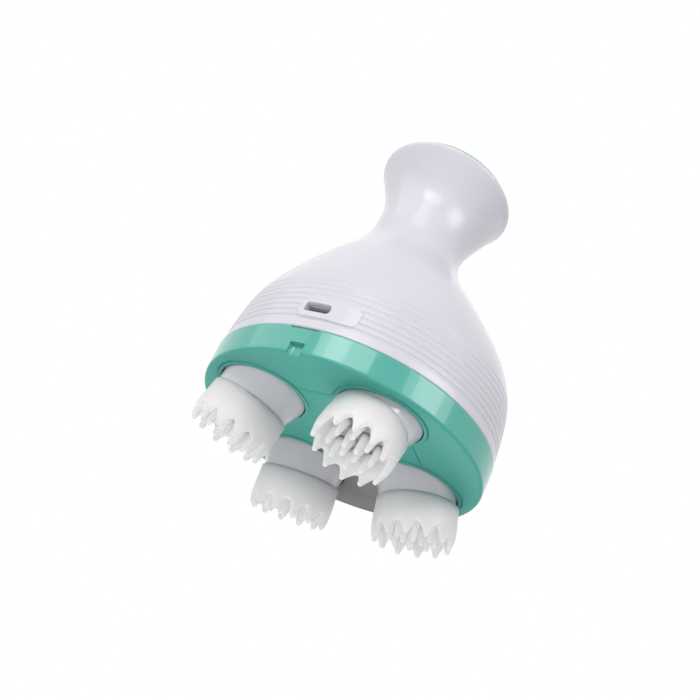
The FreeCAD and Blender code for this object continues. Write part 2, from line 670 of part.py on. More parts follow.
def four(name, source, place):
    """Keep one moulding per head: the source itself, then copies of its shape on the other heads."""
    doc.recompute()
    shape = source.Shape.copy()
    shape.Placement = Placement()
    for index, (head, side, aft, lean) in enumerate(HEADS):
        item = source
        if index:
            item = doc.addObject("Part::Feature", f"{name}_{head}")
            item.Shape = shape
        item.Placement = place(side, aft, lean)
        node(item, f"{name}_{head}")


def make_hubs():
    """Collar that turns in its hole and ends in a tilted stub for the claw."""
    body = new_body("hub")
    low = "-lip_height"
    turn(body, "hub_core", [("0", low), (HUB_RADIUS, low), (HUB_RADIUS, HUB_TOP), ("0", HUB_TOP)])
    root = draw_circle(new_sketch(body, "collar_root", lift=low), HUB_RADIUS)
    tilt = Rotation(Y_AXIS, -val("head_tilt"))
    end = draw_circle(new_sketch(body, "collar_end"), "collar_radius")
    end.AttachmentOffset = Placement(Vector(0, 0, 0), tilt)
    bind(end, "AttachmentOffset.Base.x", "rim_drop * sin(head_tilt)")
    bind(end, "AttachmentOffset.Base.z", "pivot_height - rim_drop * cos(head_tilt)")
    collar = body.newObject("PartDesign::AdditiveLoft", "collar")
    collar.Profile = root
    collar.Sections = [end]
    collar.Ruled = True
    stub = draw_circle(new_sketch(body, "stub"), "stub_radius")
    stub.AttachmentOffset = Placement(Vector(0, 0, 0), tilt)
    bind(stub, "AttachmentOffset.Base.x", "rim_drop * sin(head_tilt)")
    bind(stub, "AttachmentOffset.Base.z", "pivot_height - rim_drop * cos(head_tilt)")
    pad(body, stub, "stub_length", reverse=True)
    shaft_bore = draw_circle(new_sketch(body, "shaft_bore", lift=HUB_TOP), "shaft_radius + fit_gap")
    pocket(body, shaft_bore, "shaft_depth")
    seat = f"{HUB_TOP} - shaft_depth - seat_web"
    screw_bore = draw_circle(new_sketch(body, "screw_bore", lift=f"{HUB_TOP} - shaft_depth"), "screw_shank + fit_gap")
    pocket(body, screw_bore, "seat_web")
    counterbore = draw_circle(new_sketch(body, "counterbore", lift=seat), "screw_head + seam_gap")
    pocket(body, counterbore, "stub_length + rim_drop")
    four("hub", body, head_place)


def make_claws():
    """Soft cup with a crown of outer teeth and two rings of inner pins."""
    body = new_body("claw")
    bore = "stub_radius + fit_gap"
    inner = "claw_belly - claw_wall"
    shoulder = "claw_length - tooth_length"
    turn(body, "cup", [
        (bore, "fit_gap"),
        ("claw_rim - rim_round", "fit_gap"),
        ("claw_rim", "fit_gap + rim_round"),
        ("claw_belly", shoulder),
        ("tip_circle + 0.8", "claw_length - 0.5"),
        ("tip_circle", "claw_length"),
        ("tip_circle - 0.8", "claw_length - 0.5"),
        (inner, shoulder),
        (inner, "claw_floor"),
        ("0", "claw_floor"),
        ("0", "stub_length + 2 * fit_gap"),
        (bore, "stub_length + 2 * fit_gap"),
    ])
    arch = new_sketch(body, "arch", "YZ_Plane")
    half_gap = f"({math.pi} * tip_circle / tooth_count - tooth_tip / 2)"
    draw_polygon(arch, [
        ("-valley_width / 2", f"{shoulder} + valley_width / 2"),
        ("-valley_width / 4", shoulder),
        ("valley_width / 4", shoulder),
        ("valley_width / 2", f"{shoulder} + valley_width / 2"),
        (half_gap, "claw_length + 0.2"),
        (f"-{half_gap}", "claw_length + 0.2"),
    ])
    gap = pocket(body, arch, "claw_belly + 1", reverse=True)
    polar(body, gap, "tooth_count")
    for ring in ("middle", "inner"):
        sketch = new_sketch(body, f"{ring}_pin", "XZ_Plane")
        centre = f"{ring}_circle"
        tip = "claw_floor + pin_length"
        draw_polygon(sketch, [
            (centre, "claw_floor - 0.5"),
            (f"{centre} + pin_foot", "claw_floor - 0.5"),
            (f"{centre} + pin_tip", f"{tip} - pin_tip"),
            (f"{centre} + pin_tip / 2", tip),
            (centre, tip),
        ])
        pin = body.newObject("PartDesign::Revolution", f"{ring}_pin_turn")
        pin.Profile = sketch
        pin.ReferenceAxis = (sketch, ["Edge5"])
        pin.Angle = 360
        polar(body, pin, f"{ring}_count")
    body.Placement = Placement(Vector(0, 0, 0), Rotation(Z_AXIS, 0))
    four("claw", body, claw_place)


def make_head_shafts():
    """Shaft from the hub up through the bush and the head gear, drilled for the hub screw."""
    foot = f"{HUB_TOP} - shaft_depth"
    bar = cylinder("head_shaft_bar", "shaft_radius", f"{GEAR_TOP} + level_gap - ({foot})", z=foot)
    drill = cylinder("head_shaft_drill", "screw_shank + fit_gap", "screw_grip + fit_gap", z=foot)
    four("head_shaft", cut("head_shaft", bar, drill), head_place)


def make_hub_screws():
    """Screw from below that holds a hub on its shaft."""
    seat = f"{HUB_TOP} - shaft_depth - seat_web"
    shank = cylinder("hub_screw_shank", "screw_shank", "seat_web + screw_grip", z=seat)
    head = cylinder("hub_screw_head", "screw_head", "screw_head_height", z=f"{seat} - screw_head_height")
    four("hub_screw", fuse("hub_screw", [shank, head]), head_place)


def make_bushes_and_seals():
    """Bush in each boss and ring seal under it, one group each."""
    bushes = []
    seals = []
    for name, side, aft, lean in HEADS:
        place = (f"{side} * {HEAD_XY}", f"{aft} * {HEAD_XY}")
        floor = "hole_roof + seal_ring_thick"
        sleeve = cylinder(f"sleeve_{name}", BUSH_RADIUS, f"{BUSH_TOP} - ({floor})", *place, floor)
        bore = cylinder(f"sleeve_bore_{name}", "shaft_radius + run_gap", BUSH_TOP, *place, "0")
        bushes.append(cut(f"bush_{name}", sleeve, bore))
        outer = cylinder(f"ring_{name}", f"{BUSH_RADIUS} + seal_ring_width", "seal_ring_thick", *place, "hole_roof")
        inner = cylinder(f"ring_bore_{name}", "shaft_radius + run_gap", BUSH_TOP, *place, "0")
        seals.append(cut(f"seal_{name}", outer, inner))
    node(stand(group("head_bushes", bushes)), "head_bushes")
    node(stand(group("head_seals", seals)), "head_seals")


# Gears

def gear_solid(teeth, module, width):
    """Solid involute spur gear about Z with 20 degree flanks, a tooth on the X axis.

    At radius r the half width of a tooth, as an angle, is
    pi / (2 n) - backlash / (2 r_pitch) + inv(20 deg) - inv(a), with cos(a) = r_base / r
    and inv(a) = tan(a) - a. Under the base circle the flank runs straight in.
    """
    pitch = module * teeth / 2
    base = pitch * math.cos(math.radians(20))
    root = pitch - 1.25 * module
    tip = pitch + 0.9 * module
    start = max(base, root)

    def half_angle(radius):
        turn_angle = math.acos(min(1.0, base / radius))
        pressure = math.radians(20)
        involute = math.tan(pressure) - pressure - math.tan(turn_angle) + turn_angle
        return math.pi / (2 * teeth) - val("backlash") / (2 * pitch) + involute

    flank = [(root, half_angle(start))] if root < start else []
    flank += [(radius, half_angle(radius)) for radius in (start, (start + tip) / 2, tip)]
    points = []
    for tooth in range(teeth):
        centre = 2 * math.pi * tooth / teeth
        for sign, side in ((-1, flank), (1, flank[::-1])):
            for radius, angle in side:
                turned = centre + sign * angle
                points.append(Vector(radius * math.cos(turned), radius * math.sin(turned), 0))
    outline = Part.makePolygon(points + points[:1])
    return Part.Face(outline).extrude(Vector(0, 0, width))


def turned_gear(teeth, module, width, height, angle):
    """Gear at a height, turned about Z by an angle in degrees."""
    solid = gear_solid(int(val(teeth)), val(module), val(width))
    solid.Placement = Placement(Vector(0, 0, val(height)), Rotation(Z_AXIS, angle))
    return solid


def bored(solid, radius):
    """Gear solid with a bore along Z."""
    bore = Part.makeCylinder(val(radius), 1000, Vector(0, 0, -500))
    return solid.cut(bore)


def gear_feature(name, solid, x="0", y="0"):
    """Piece that holds a gear worked out above."""
    item = doc.addObject("Part::Feature", name)
    item.Shape = solid
    return node(stand(item, x, y), name)


def make_head_gears():
    """Gear on each head shaft, with a gap facing the tooth of the drive gear."""
    for name, side, aft, lean in HEADS:
        inward = math.degrees(math.atan2(-aft, -side))
        angle = inward + 180 / val("head_teeth")
        solid = turned_gear("head_teeth", "head_module", "head_gear_width", GEAR_Z, angle)
        gear_feature(f"head_gear_{name}", bored(solid, "shaft_radius + fit_gap"), f"{side} * {HEAD_XY}", f"{aft} * {HEAD_XY}")


def make_drive_gear():
    """Double gear on the centre: a wheel for the four heads and a wheel for the reduction."""
    sun = turned_gear("sun_teeth", "head_module", "head_gear_width", GEAR_Z, 45)
    neck = Part.makeCylinder(val("drive_axle_radius + boss_wall"), val(f"{SECOND_Z} - {GEAR_Z}"), Vector(0, 0, val(GEAR_Z)))
    wheel = turned_gear("wheel_teeth", "second_module", "second_width", SECOND_Z, 90)
    gear_feature("drive_gear", bored(sun.fuse([neck, wheel]).removeSplitter(), "drive_axle_radius + run_gap"))


def make_reduction_gear():
    """Double gear between the motor pinion and the drive gear."""
    pinion = turned_gear("second_teeth", "second_module", f"{FIRST_Z} - {SECOND_Z}", SECOND_Z, 270 + 180 / val("second_teeth"))
    wheel = turned_gear("reduction_teeth", "first_module", "first_width", FIRST_Z, 270)
    solid = bored(pinion.fuse(wheel).removeSplitter(), "reduction_axle_radius + run_gap")
    gear_feature("reduction_gear", solid, y=REDUCTION_Y)


def make_motor_pinion():
    """Pinion on the motor shaft, with a gap facing the reduction gear."""
    solid = turned_gear("pinion_teeth", "first_module", "first_width", FIRST_Z, 90 + 180 / val("pinion_teeth"))
    gear_feature("motor_pinion", bored(solid, "motor_shaft_radius + fit_gap"), y=MOTOR_Y)


def make_axles():
    """Headed pins: one up from the base plate, one down from the motor plate."""
    foot = f"{BUSH_TOP} - axle_press"
    pin = cylinder("drive_pin", "drive_axle_radius", f"{SECOND_TOP} + fit_gap - ({foot})", z=foot)
    head = cylinder("drive_pin_head", "drive_axle_radius + axle_head", "axle_head_height", z=f"{SECOND_TOP} + fit_gap")
    node(stand(fuse("drive_axle", [pin, head])), "drive_axle")
    low = f"{SECOND_Z} - fit_gap"
    rod = cylinder("reduction_pin", "reduction_axle_radius", f"{MOTOR_Z} - ({low})", z=low)
    foot_z = f"{low} - axle_head_height"
    foot = cylinder("reduction_pin_head", "reduction_axle_radius + axle_head", "axle_head_height", z=foot_z)
    node(stand(fuse("reduction_axle", [rod, foot]), y=REDUCTION_Y), "reduction_axle")


# Motor

def make_motor_plate():
    """Plate on the four posts, with the motor, the reduction axle and a cable opening."""
    body = new_body("motor_plate")
    blank = draw_circle(new_sketch(body, "plate_disc", lift=MOTOR_PLATE_Z), "motor_plate_radius")
    pad(body, blank, "motor_plate_thick")
    opening = new_sketch(body, "cable_opening", lift=MOTOR_Z)
    edge = "-motor_plate_radius + cable_gap_depth"
    draw_rectangle(opening, "-cable_gap_width / 2", "cable_gap_width / 2", "-motor_plate_radius - 1", edge)
    pocket(body, opening, "motor_plate_thick")
    holes = new_sketch(body, "plate_holes", lift=MOTOR_Z)
    draw_circle(holes, "motor_boss + seam_gap", "0", MOTOR_Y)
    draw_circle(holes, "reduction_axle_radius", "0", REDUCTION_Y)
    for side in (-1, 1):
        draw_circle(holes, "small_screw + seam_gap", f"{side} * motor_screw_pitch / 2", MOTOR_Y)
        for aft in (-1, 1):
            draw_circle(holes, "small_screw + seam_gap", f"{side} * post_x", f"{aft} * post_y")
    pocket(body, holes, "motor_plate_thick")
    stand(body)
    return node(body, "motor_plate")


def make_motor():
    """Motor can with a front boss, two screw holes and a bore for its shaft."""
    body = new_body("motor")
    can_z = f"{MOTOR_Z} + fit_gap"
    boss_z = f"{can_z} - motor_boss_height"
    bore_top = f"{can_z} + motor_shaft_depth + fit_gap"
    turn(body, "can", [
        ("motor_shaft_radius + run_gap", boss_z),
        ("motor_boss", boss_z),
        ("motor_boss", can_z),
        ("motor_radius", can_z),
        ("motor_radius", f"{can_z} + {MOTOR_LENGTH}"),
        ("0", f"{can_z} + {MOTOR_LENGTH}"),
        ("0", bore_top),
        ("motor_shaft_radius + run_gap", bore_top),
    ])
    threads = new_sketch(body, "motor_threads", lift=can_z)
    for side in (-1, 1):
        draw_circle(threads, "small_screw + fit_gap", f"{side} * motor_screw_pitch / 2")
    pocket(body, threads, "motor_screw_grip + fit_gap", reverse=True)
    stand(body, y=MOTOR_Y)
    node(body, "motor")
    foot = f"{FIRST_Z} - fit_gap"
    shaft = cylinder("motor_shaft", "motor_shaft_radius", f"{can_z} + motor_shaft_depth - ({foot})")
    node(stand(shaft, y=MOTOR_Y, z=f"{foot}"), "motor_shaft")


def make_screws():
    """Screws of the motor plate, the motor and the main board, one group each."""
    plate_screws = []
    motor_screws = []
    board_screws = []
    seat = f"({MOTOR_Z} + fit_gap)"
    board_seat = f"({BOARD_TOP} + 2 * fit_gap)"
    for side in (-1, 1):
        for aft in (-1, 1):
            place = (f"{side} * post_x", f"{aft} * post_y")
            grip = "small_screw_grip + motor_plate_thick"
            plate_screws.append(screw(f"plate_screw_{side + 1}{aft + 1}", *place, seat, grip))
        place = (f"{side} * motor_screw_pitch / 2", MOTOR_Y)
        low = f"({MOTOR_PLATE_Z} - fit_gap)"
        grip = "motor_screw_grip + motor_plate_thick"
        motor_screws.append(screw(f"motor_screw_{side + 1}", *place, low, grip, head_up=False))
        place = (f"{side} * board_post_x", "-board_post_y")
        board_screws.append(screw(f"board_screw_{side + 1}", *place, board_seat, "small_screw_grip + board_thick"))
    node(stand(group("plate_screws", plate_screws)), "plate_screws")
    node(stand(group("motor_screws", motor_screws)), "motor_screws")
    node(stand(group("board_screws", board_screws)), "board_screws")


# Power and charging

def make_battery():
    """Battery lying across the rear of the motor plate, in an open cradle."""
    cell = cylinder("battery", "battery_radius", "battery_length", "-battery_length / 2", "battery_y")
    cell.Placement.Rotation = Rotation(Y_AXIS, 90)
    stand(cell, "-battery_length / 2", "battery_y", BATTERY_Z)
    node(cell, "battery")
    half = "battery_radius + holder_wall"
    size = ("battery_length + 2 * holder_wall", f"2 * ({half})", "holder_height")
    floor = f"{MOTOR_Z} + fit_gap"
    cradle = box("cradle", size, ("-battery_length / 2 - holder_wall", f"battery_y - ({half})", floor))
    hollow = cylinder("cradle_hollow", "battery_radius + fit_gap", "battery_length + 2 * fit_gap")
    hollow.Placement.Rotation = Rotation(Y_AXIS, 90)
    for prop, text in (("x", "-battery_length / 2 - fit_gap"), ("y", "battery_y"), ("z", BATTERY_Z)):
        bind(hollow, f"Placement.Base.{prop}", text)
    node(stand(cut("battery_holder", cradle, hollow)), "battery_holder")


def make_main_board():
    """Charging board on its two posts."""
    size = ("2 * board_half_width", "board_depth", "board_thick")
    blank = box("main_board_blank", size, ("-board_half_width", "-board_front", "board_height + fit_gap"))
    holes = []
    for side in (-1, 1):
        place = (f"{side} * board_post_x", "-board_post_y", "board_height")
        holes.append(cylinder(f"main_board_hole_{side + 1}", "small_screw + seam_gap", "2 * board_thick", *place))
    node(stand(cut("main_board", blank, fuse("main_board_holes", holes))), "main_board")


def make_usb_socket():
    """Charging socket on the main board, open to the front, with a tongue inside."""
    body = new_body("usb_socket")
    low = f"{BOARD_TOP} + 2 * fit_gap"
    outline = new_sketch(body, "socket_outline", "XZ_Plane", USB_Y)
    draw_rectangle(outline, "-usb_width / 2", "usb_width / 2", low, f"{low} + usb_height")
    pad(body, outline, "usb_depth")
    round_edges(body, "socket_corners", "usb_height / 3", is_fore_and_aft)
    mouth = new_sketch(body, "socket_mouth", "XZ_Plane", f"{USB_Y} + usb_depth")
    side = "usb_width / 2 - usb_wall"
    draw_rectangle(mouth, f"-({side})", side, f"{low} + usb_wall", f"{low} + usb_height - usb_wall")
    pocket(body, mouth, "usb_depth - usb_wall")
    tongue = new_sketch(body, "socket_tongue", "XZ_Plane", f"{USB_Y} + usb_wall / 2")
    draw_rectangle(tongue, f"-({side} - 1)", f"{side} - 1", f"{low} + usb_height / 2 - usb_wall", f"{low} + usb_height / 2 + usb_wall")
    pad(body, tongue, "usb_depth - 2")
    stand(body)
    return node(body, "usb_socket")


def make_lead(name, points):
    """Round lead along straight runs joined by tangent arcs."""
    bend = val("lead_bend")
    edges = []
    start = points[0]
    for before, corner, after in zip(points, points[1:], points[2:]):
        inward = (corner - before).normalize()
        outward = (after - corner).normalize()
        angle = inward.getAngle(outward)
        setback = bend * math.tan(angle / 2)
        enter = corner - inward * setback
        leave = corner + outward * setback
        middle_way = (outward - inward).normalize()
        middle = corner + middle_way * (bend / math.cos(angle / 2) - bend)
        edges.append(Part.makeLine(start, enter))
        edges.append(Part.Arc(enter, middle, leave).toShape())
        start = leave
    edges.append(Part.makeLine(start, points[-1]))
    path = Part.Wire(edges)
    along = (points[1] - points[0]).normalize()
    ring = Part.Wire([Part.makeCircle(val("lead_radius"), points[0], along)])
    item = doc.addObject("Part::Feature", name)
    item.Shape = path.makePipeShell([ring], True, False)
    return node(stand(item), name)


def make_leads():
    """Leads from the switch, the motor and the battery down to the main board."""
    landing = val(f"{BOARD_TOP} + 3 * fit_gap")
    across = val("lead_spread")
    aft = -val("board_front - board_depth + lead_inset")
    bend = val("lead_bend")
    motor_top = val(f"{MOTOR_Z} + {MOTOR_LENGTH} + 2 * fit_gap")
    motor_high = motor_top + val("lead_rise")
    motor_front = val(MOTOR_Y) - val("motor_radius / 2")
    under_switch = val(f"top_height + {SWITCH_BOARD_TOP} - 2 * board_thick")
    make_lead("switch_lead", [
        Vector(across, -val("grip_offset"), under_switch),
        Vector(across, -val("neck_offset"), val("throat_height")),
        Vector(across, aft, val("shoulder_height") - bend / 2),
        Vector(across, aft, landing),
    ])
    make_lead("motor_lead", [
        Vector(-across, motor_front, motor_top),
        Vector(-across, motor_front, motor_high),
        Vector(-across, -val("2 * neck_offset"), motor_high),
        Vector(-across, aft, val("shoulder_height") - bend),
        Vector(-across, aft, landing),
    ])
    cell_x = val("motor_radius + 3 * lead_radius")
    board_x = val("board_half_width - lead_spread / 2")
    cell_top = val(f"{BATTERY_Z} + battery_radius + fit_gap + lead_radius")
    make_lead("battery_lead", [
        Vector(cell_x, val("battery_y"), cell_top),
        Vector(cell_x, val(MOTOR_Y), cell_top),
        Vector(board_x, aft, val("rib_end_height")),
        Vector(board_x, aft, landing),
    ])


# Body shell

SECTIONS = [
    ("ring_height + seam_gap", "seam_radius", "0", 0.0),
    ("hem_height", "hem_radius", "0", 0.0),
    ("flank_height", "flank_radius", "0", 0.0),
    ("rib_end_height", "rib_end_radius", "0", 0.0),
    ("shoulder_height", "shoulder_radius", "shoulder_offset", 0.0),
    ("slope_height", "slope_radius", "slope_offset", 0.3),
    ("throat_height", "throat_radius", "throat_offset", 0.7),
    ("neck_height", "neck_radius", "neck_offset", 1.0),
    ("grip_height", "grip_radius", "grip_offset", 1.0),
    (
        "top_height - crown_depth * cos(handle_lean)",
        "crown_radius",
        "top_offset + crown_depth * sin(handle_lean)",
        1.0,
    ),
]
CEILING = (
    "top_height - top_wall * cos(handle_lean)",
    "crown_radius",
    "top_offset + top_wall * sin(handle_lean)",
    1.0,
)


def section(body, name, height, radius, offset, share):
    """Circle across the shell, moved forward and leaned back by its share of the handle's lean."""
    sketch = draw_circle(new_sketch(body, name), radius)
    sketch.AttachmentOffset = Placement(Vector(0, 0, 0), Rotation(X_AXIS, -share * val("handle_lean")))
    bind(sketch, "AttachmentOffset.Base.y", f"-({offset})")
    bind(sketch, "AttachmentOffset.Base.z", height)
    return sketch


def shell_loft(body, name, kind, sections, inset):
    """Loft through sections of the shell, each smaller by the inset."""
    rings = []
    for index, (height, radius, offset, share) in enumerate(sections):
        rings.append(section(body, f"{name}_{index}", height, f"{radius} - {inset}", offset, share))
    loft = body.newObject(kind, name)
    loft.Profile = rings[0]
    loft.Sections = rings[1:]
    return loft


def flank_radius_at(height):
    """Expression for the shell's radius on the ribbed flank: the parabola through its three sections."""
    low, middle, high = "(ring_height + seam_gap)", "flank_height", "rib_end_height"
    first = f"seam_radius * ({height} - {middle}) * ({height} - {high}) / (({low} - {middle}) * ({low} - {high}))"
    second = f"flank_radius * ({height} - {low}) * ({height} - {high}) / (({middle} - {low}) * ({middle} - {high}))"
    third = f"rib_end_radius * ({height} - {low}) * ({height} - {middle}) / (({high} - {low}) * ({high} - {middle}))"
    return f"({first} + {second} + {third})"


def make_body_shell():
    """White shell: ribbed flank, shoulder, neck and handle, with the port and a spigot for the ring."""
    body = new_body("shell_casing")
    low = "-crown_depth"
    turn(body, "crown", [("0", low), ("crown_radius", low), ("top_corner", "0"), ("0", "0")], leaning=True)
    round_edges(body, "crown_edge", "top_round", lambda edge: has_radius(edge, val("top_corner")))
    shell_loft(body, "outside", "PartDesign::AdditiveLoft", SECTIONS, "0")
    shell_loft(body, "inside", "PartDesign::SubtractiveLoft", SECTIONS + [CEILING], "shell_wall")
    opening = new_sketch(body, "cap_opening")
    draw_circle(opening, "skirt_radius + seam_gap")
    opening.AttachmentOffset = Placement(Vector(0, 0, 0), Rotation(X_AXIS, -val("handle_lean")))
    bind(opening, "AttachmentOffset.Base.y", "-top_offset + cap_step * sin(handle_lean)")
    bind(opening, "AttachmentOffset.Base.z", "top_height + cap_step * cos(handle_lean)")
    pocket(body, opening, "top_wall + 2 * cap_step")
    outer = f"({RING_BORE} - seam_gap)"
    inner = f"({outer} - spigot_wall)"
    foot = f"({SEAL_Z} + seal_thick + fit_gap)"
    notch = "(snap_depth + seam_gap)"
    turn(body, "spigot", [
        (inner, foot),
        (outer, foot),
        (outer, f"snap_height - {notch}"),
        (f"{outer} - {notch}", "snap_height"),
        (outer, f"snap_height + {notch}"),
        (outer, "ring_height + spigot_rise"),
        (inner, "ring_height + spigot_rise"),
    ])
    rings = []
    for index in range(int(val("rib_count"))):
        height = f"(rib_first + {index} * rib_pitch)"
        ring = doc.addObject("Part::Torus", f"groove_{index}")
        bind(ring, "Radius1", f"{flank_radius_at(height)} + rib_radius - rib_depth")
        bind(ring, "Radius2", "rib_radius")
        ring.Placement.Rotation = Rotation(Z_AXIS, 40)
        bind(ring, "Placement.Base.z", height)
        rings.append(ring)
    panel = common("port_panel", [panel_skin(), panel_field("panel_outline")])
    panelled = fuse("panelled_shell", [body, panel])
    ribbed = cut("ribbed_shell", panelled, cut("groove_cut", group("grooves", rings), panel_field("panel_field")))
    return node(stand(cut("body_shell", ribbed, port_cutter())), "body_shell")


def panel_field(name):
    """Block in front of the shell with the rounded outline of the port panel."""
    body = new_body(name)
    outline = new_sketch(body, name + "_sketch", "XZ_Plane", "board_front - 1")
    draw_rectangle(outline, "-panel_left", "panel_right", "panel_low", "panel_high")
    pad(body, outline, "ring_radius - board_front + 3")
    round_edges(body, name + "_corners", "panel_round", is_fore_and_aft)
    return body


def panel_skin():
    """Band round the flank that stands out by the rise of the port panel."""
    name = "panel_skin"
    body = new_body(name)
    inner = "seam_radius - shell_wall / 2 - 1"
    outer = []
    for share in range(5):
        height = f"(panel_low + (panel_high - panel_low) * {share} / 4)"
        outer.append((f"{flank_radius_at(height)} + panel_rise", height))
    turn(body, name + "_turn", [(inner, "panel_low")] + outer + [(inner, "panel_high")])
    return body


def port_cutter():
    """Opening of the charging port, with rounded ends."""
    body = new_body("port_cutter")
    outline = new_sketch(body, "port_outline", "XZ_Plane", "board_front")
    side = "usb_width / 2 + port_gap"
    low = f"{BOARD_TOP} + 2 * fit_gap - port_gap"
    draw_rectangle(outline, f"-({side})", side, low, f"{low} + usb_height + 2 * port_gap")
    pad(body, outline, "shell_wall + 8")
    round_edges(body, "port_corners", "usb_height / 3 + port_gap", is_fore_and_aft)
    return body


# Top cap and button

def make_top_cap():
    """Cap on the handle's top with a skirt, two bosses and the button's hole."""
    body = new_body("top_cap")
    skirt_inner = "skirt_radius - skirt_wall"
    turn(body, "cap", [
        ("button_radius + key_gap", "-cap_plate"),
        (skirt_inner, "-cap_plate"),
        (skirt_inner, "-skirt_depth"),
        ("skirt_radius", "-skirt_depth"),
        ("skirt_radius", "fit_gap"),
        ("cap_radius", "fit_gap"),
        ("cap_radius", "cap_step"),
        ("button_radius + key_gap", "cap_step"),
    ])
    round_edges(body, "cap_edge", "cap_round", lambda edge: on_circle(edge, val("cap_radius"), val("cap_step")))
    bosses = new_sketch(body, "cap_bosses", lift="-cap_plate")
    threads = new_sketch(body, "cap_threads", lift=SWITCH_BOARD_TOP)
    for side in (-1, 1):
        draw_circle(bosses, "cap_boss_radius", f"{side} * cap_boss_x")
        draw_circle(threads, "small_screw + fit_gap", f"{side} * cap_boss_x")
    pad(body, bosses, f"-({SWITCH_BOARD_TOP}) - cap_plate", reverse=True)
    pocket(body, threads, "small_screw_grip + fit_gap", reverse=True)
    top_frame(body)
    return node(body, "top_cap")


BUTTON_FLANGE_TOP = "(-cap_plate - fit_gap)"
BUTTON_FOOT = f"({BUTTON_FLANGE_TOP} - button_flange_height - button_stem_length)"
SWITCH_TOP = f"({BUTTON_FOOT} - button_travel - fit_gap)"
SWITCH_BOARD_TOP = f"({SWITCH_TOP} - switch_height - fit_gap)"


def make_power_button():
    """Round button held under the cap by its flange, with a stem over the switch."""
    body = new_body("power_button")
    flange = f"{BUTTON_FLANGE_TOP} - button_flange_height"
    turn(body, "button", [
        ("0", BUTTON_FOOT),
        ("button_stem", BUTTON_FOOT),
        ("button_stem", flange),
        ("button_radius + button_flange", flange),
        ("button_radius + button_flange", BUTTON_FLANGE_TOP),
        ("button_radius", BUTTON_FLANGE_TOP),
        ("button_radius", "cap_step - button_sink"),
        ("0", "cap_step - button_sink"),
    ])
    top_frame(body)
    return node(body, "power_button")


def make_switch():
    """Switch board under the cap's bosses, the switch on it and the two screws."""
    low = f"{SWITCH_BOARD_TOP} - fit_gap - board_thick"
    disc = cylinder("switch_board_disc", "switch_board_radius", "board_thick", z=low)
    holes = []
    screws = []
    for side in (-1, 1):
        x = f"{side} * cap_boss_x"
        holes.append(cylinder(f"switch_board_hole_{side + 1}", "small_screw + seam_gap", "2 * board_thick", x, "0", f"{low} - board_thick / 2"))
        seat = f"({low} - fit_gap)"
        screws.append(screw(f"switch_screw_{side + 1}", x, "0", seat, "small_screw_grip + board_thick", head_up=False))
    node(top_frame(cut("switch_board", disc, fuse("switch_board_holes", holes))), "switch_board")
    node(top_frame(group("switch_screws", screws)), "switch_screws")
    corner = ("-switch_size / 2", "-switch_size / 2", f"{SWITCH_TOP} - switch_height")
    block = box("tact_switch_block", ("switch_size", "switch_size", "switch_height"), corner)
    node(top_frame(group("tact_switch", [block])), "tact_switch")


make_base_ring()
make_base_plate()
make_base_seal()
make_rear_pad()
make_hubs()
make_claws()
make_head_shafts()
make_hub_screws()
make_bushes_and_seals()
make_head_gears()
make_drive_gear()
make_reduction_gear()
make_motor_pinion()
make_axles()
make_motor_plate()
make_motor()
make_screws()
make_battery()
make_main_board()
make_usb_socket()
make_leads()
make_body_shell()
make_top_cap()
make_power_button()
make_switch()
doc.recompute()

os.makedirs("parts", exist_ok=True)
for item in doc.Objects:
    if "Invalid" in item.State or "Error" in item.State:
        raise RuntimeError(f"{item.Name} is not valid: {item.State}")
for item in nodes:
    if item.Shape.isNull() or not item.Shape.isValid():
        raise RuntimeError(f"{item.Label} has no valid shape")
    item.Shape.exportStep(f"parts/{item.Label}.step")
print(f"{len(nodes)} pieces written")
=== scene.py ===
# Head massager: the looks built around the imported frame.
# Shapes are worked out in millimetres, with heights counted from the base face, the flat underside of
# the teal ring, and are turned into metres of the frame when their meshes are made.
# Angles round the body count from the front, where the charging port is, towards the right.

import json
from math import atan2, cos, degrees, pi, radians, sin, tan

import bpy
import bmesh
import numpy as np
from mathutils import Matrix, Vector


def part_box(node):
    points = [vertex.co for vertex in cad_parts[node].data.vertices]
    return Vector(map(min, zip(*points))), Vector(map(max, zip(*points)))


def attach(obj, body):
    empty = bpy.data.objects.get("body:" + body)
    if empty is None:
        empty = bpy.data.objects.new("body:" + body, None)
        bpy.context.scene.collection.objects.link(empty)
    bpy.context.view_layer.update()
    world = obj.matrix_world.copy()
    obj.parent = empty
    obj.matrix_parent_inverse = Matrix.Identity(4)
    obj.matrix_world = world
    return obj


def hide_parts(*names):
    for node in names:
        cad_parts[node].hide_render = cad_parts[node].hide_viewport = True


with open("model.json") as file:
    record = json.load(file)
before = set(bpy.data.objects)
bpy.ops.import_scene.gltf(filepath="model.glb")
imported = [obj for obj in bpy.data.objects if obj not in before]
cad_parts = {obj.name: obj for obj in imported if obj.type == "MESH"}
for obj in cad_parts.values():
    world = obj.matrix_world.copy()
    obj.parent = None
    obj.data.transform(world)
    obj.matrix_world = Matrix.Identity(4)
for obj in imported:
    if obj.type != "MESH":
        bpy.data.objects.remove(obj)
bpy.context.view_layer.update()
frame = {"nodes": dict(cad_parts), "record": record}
BASE_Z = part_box("base_ring")[0].z
MILLIMETRE = 0.001
# Direction in which each claw leans at rest, in degrees from X.
LEANS = {"front_left": 166.0, "front_right": 262.0, "rear_left": 97.0, "rear_right": 40.0}
HEAD_XY = 20.9304
TILT = radians(15.0)
LEAN = radians(9.6)
TOP_HEIGHT = 96.8
TOP_OFFSET = 7.8
RING_RADIUS = 48.5


# Meshes

MERGE_REACH = 2e-6
THINNEST = 1e-7


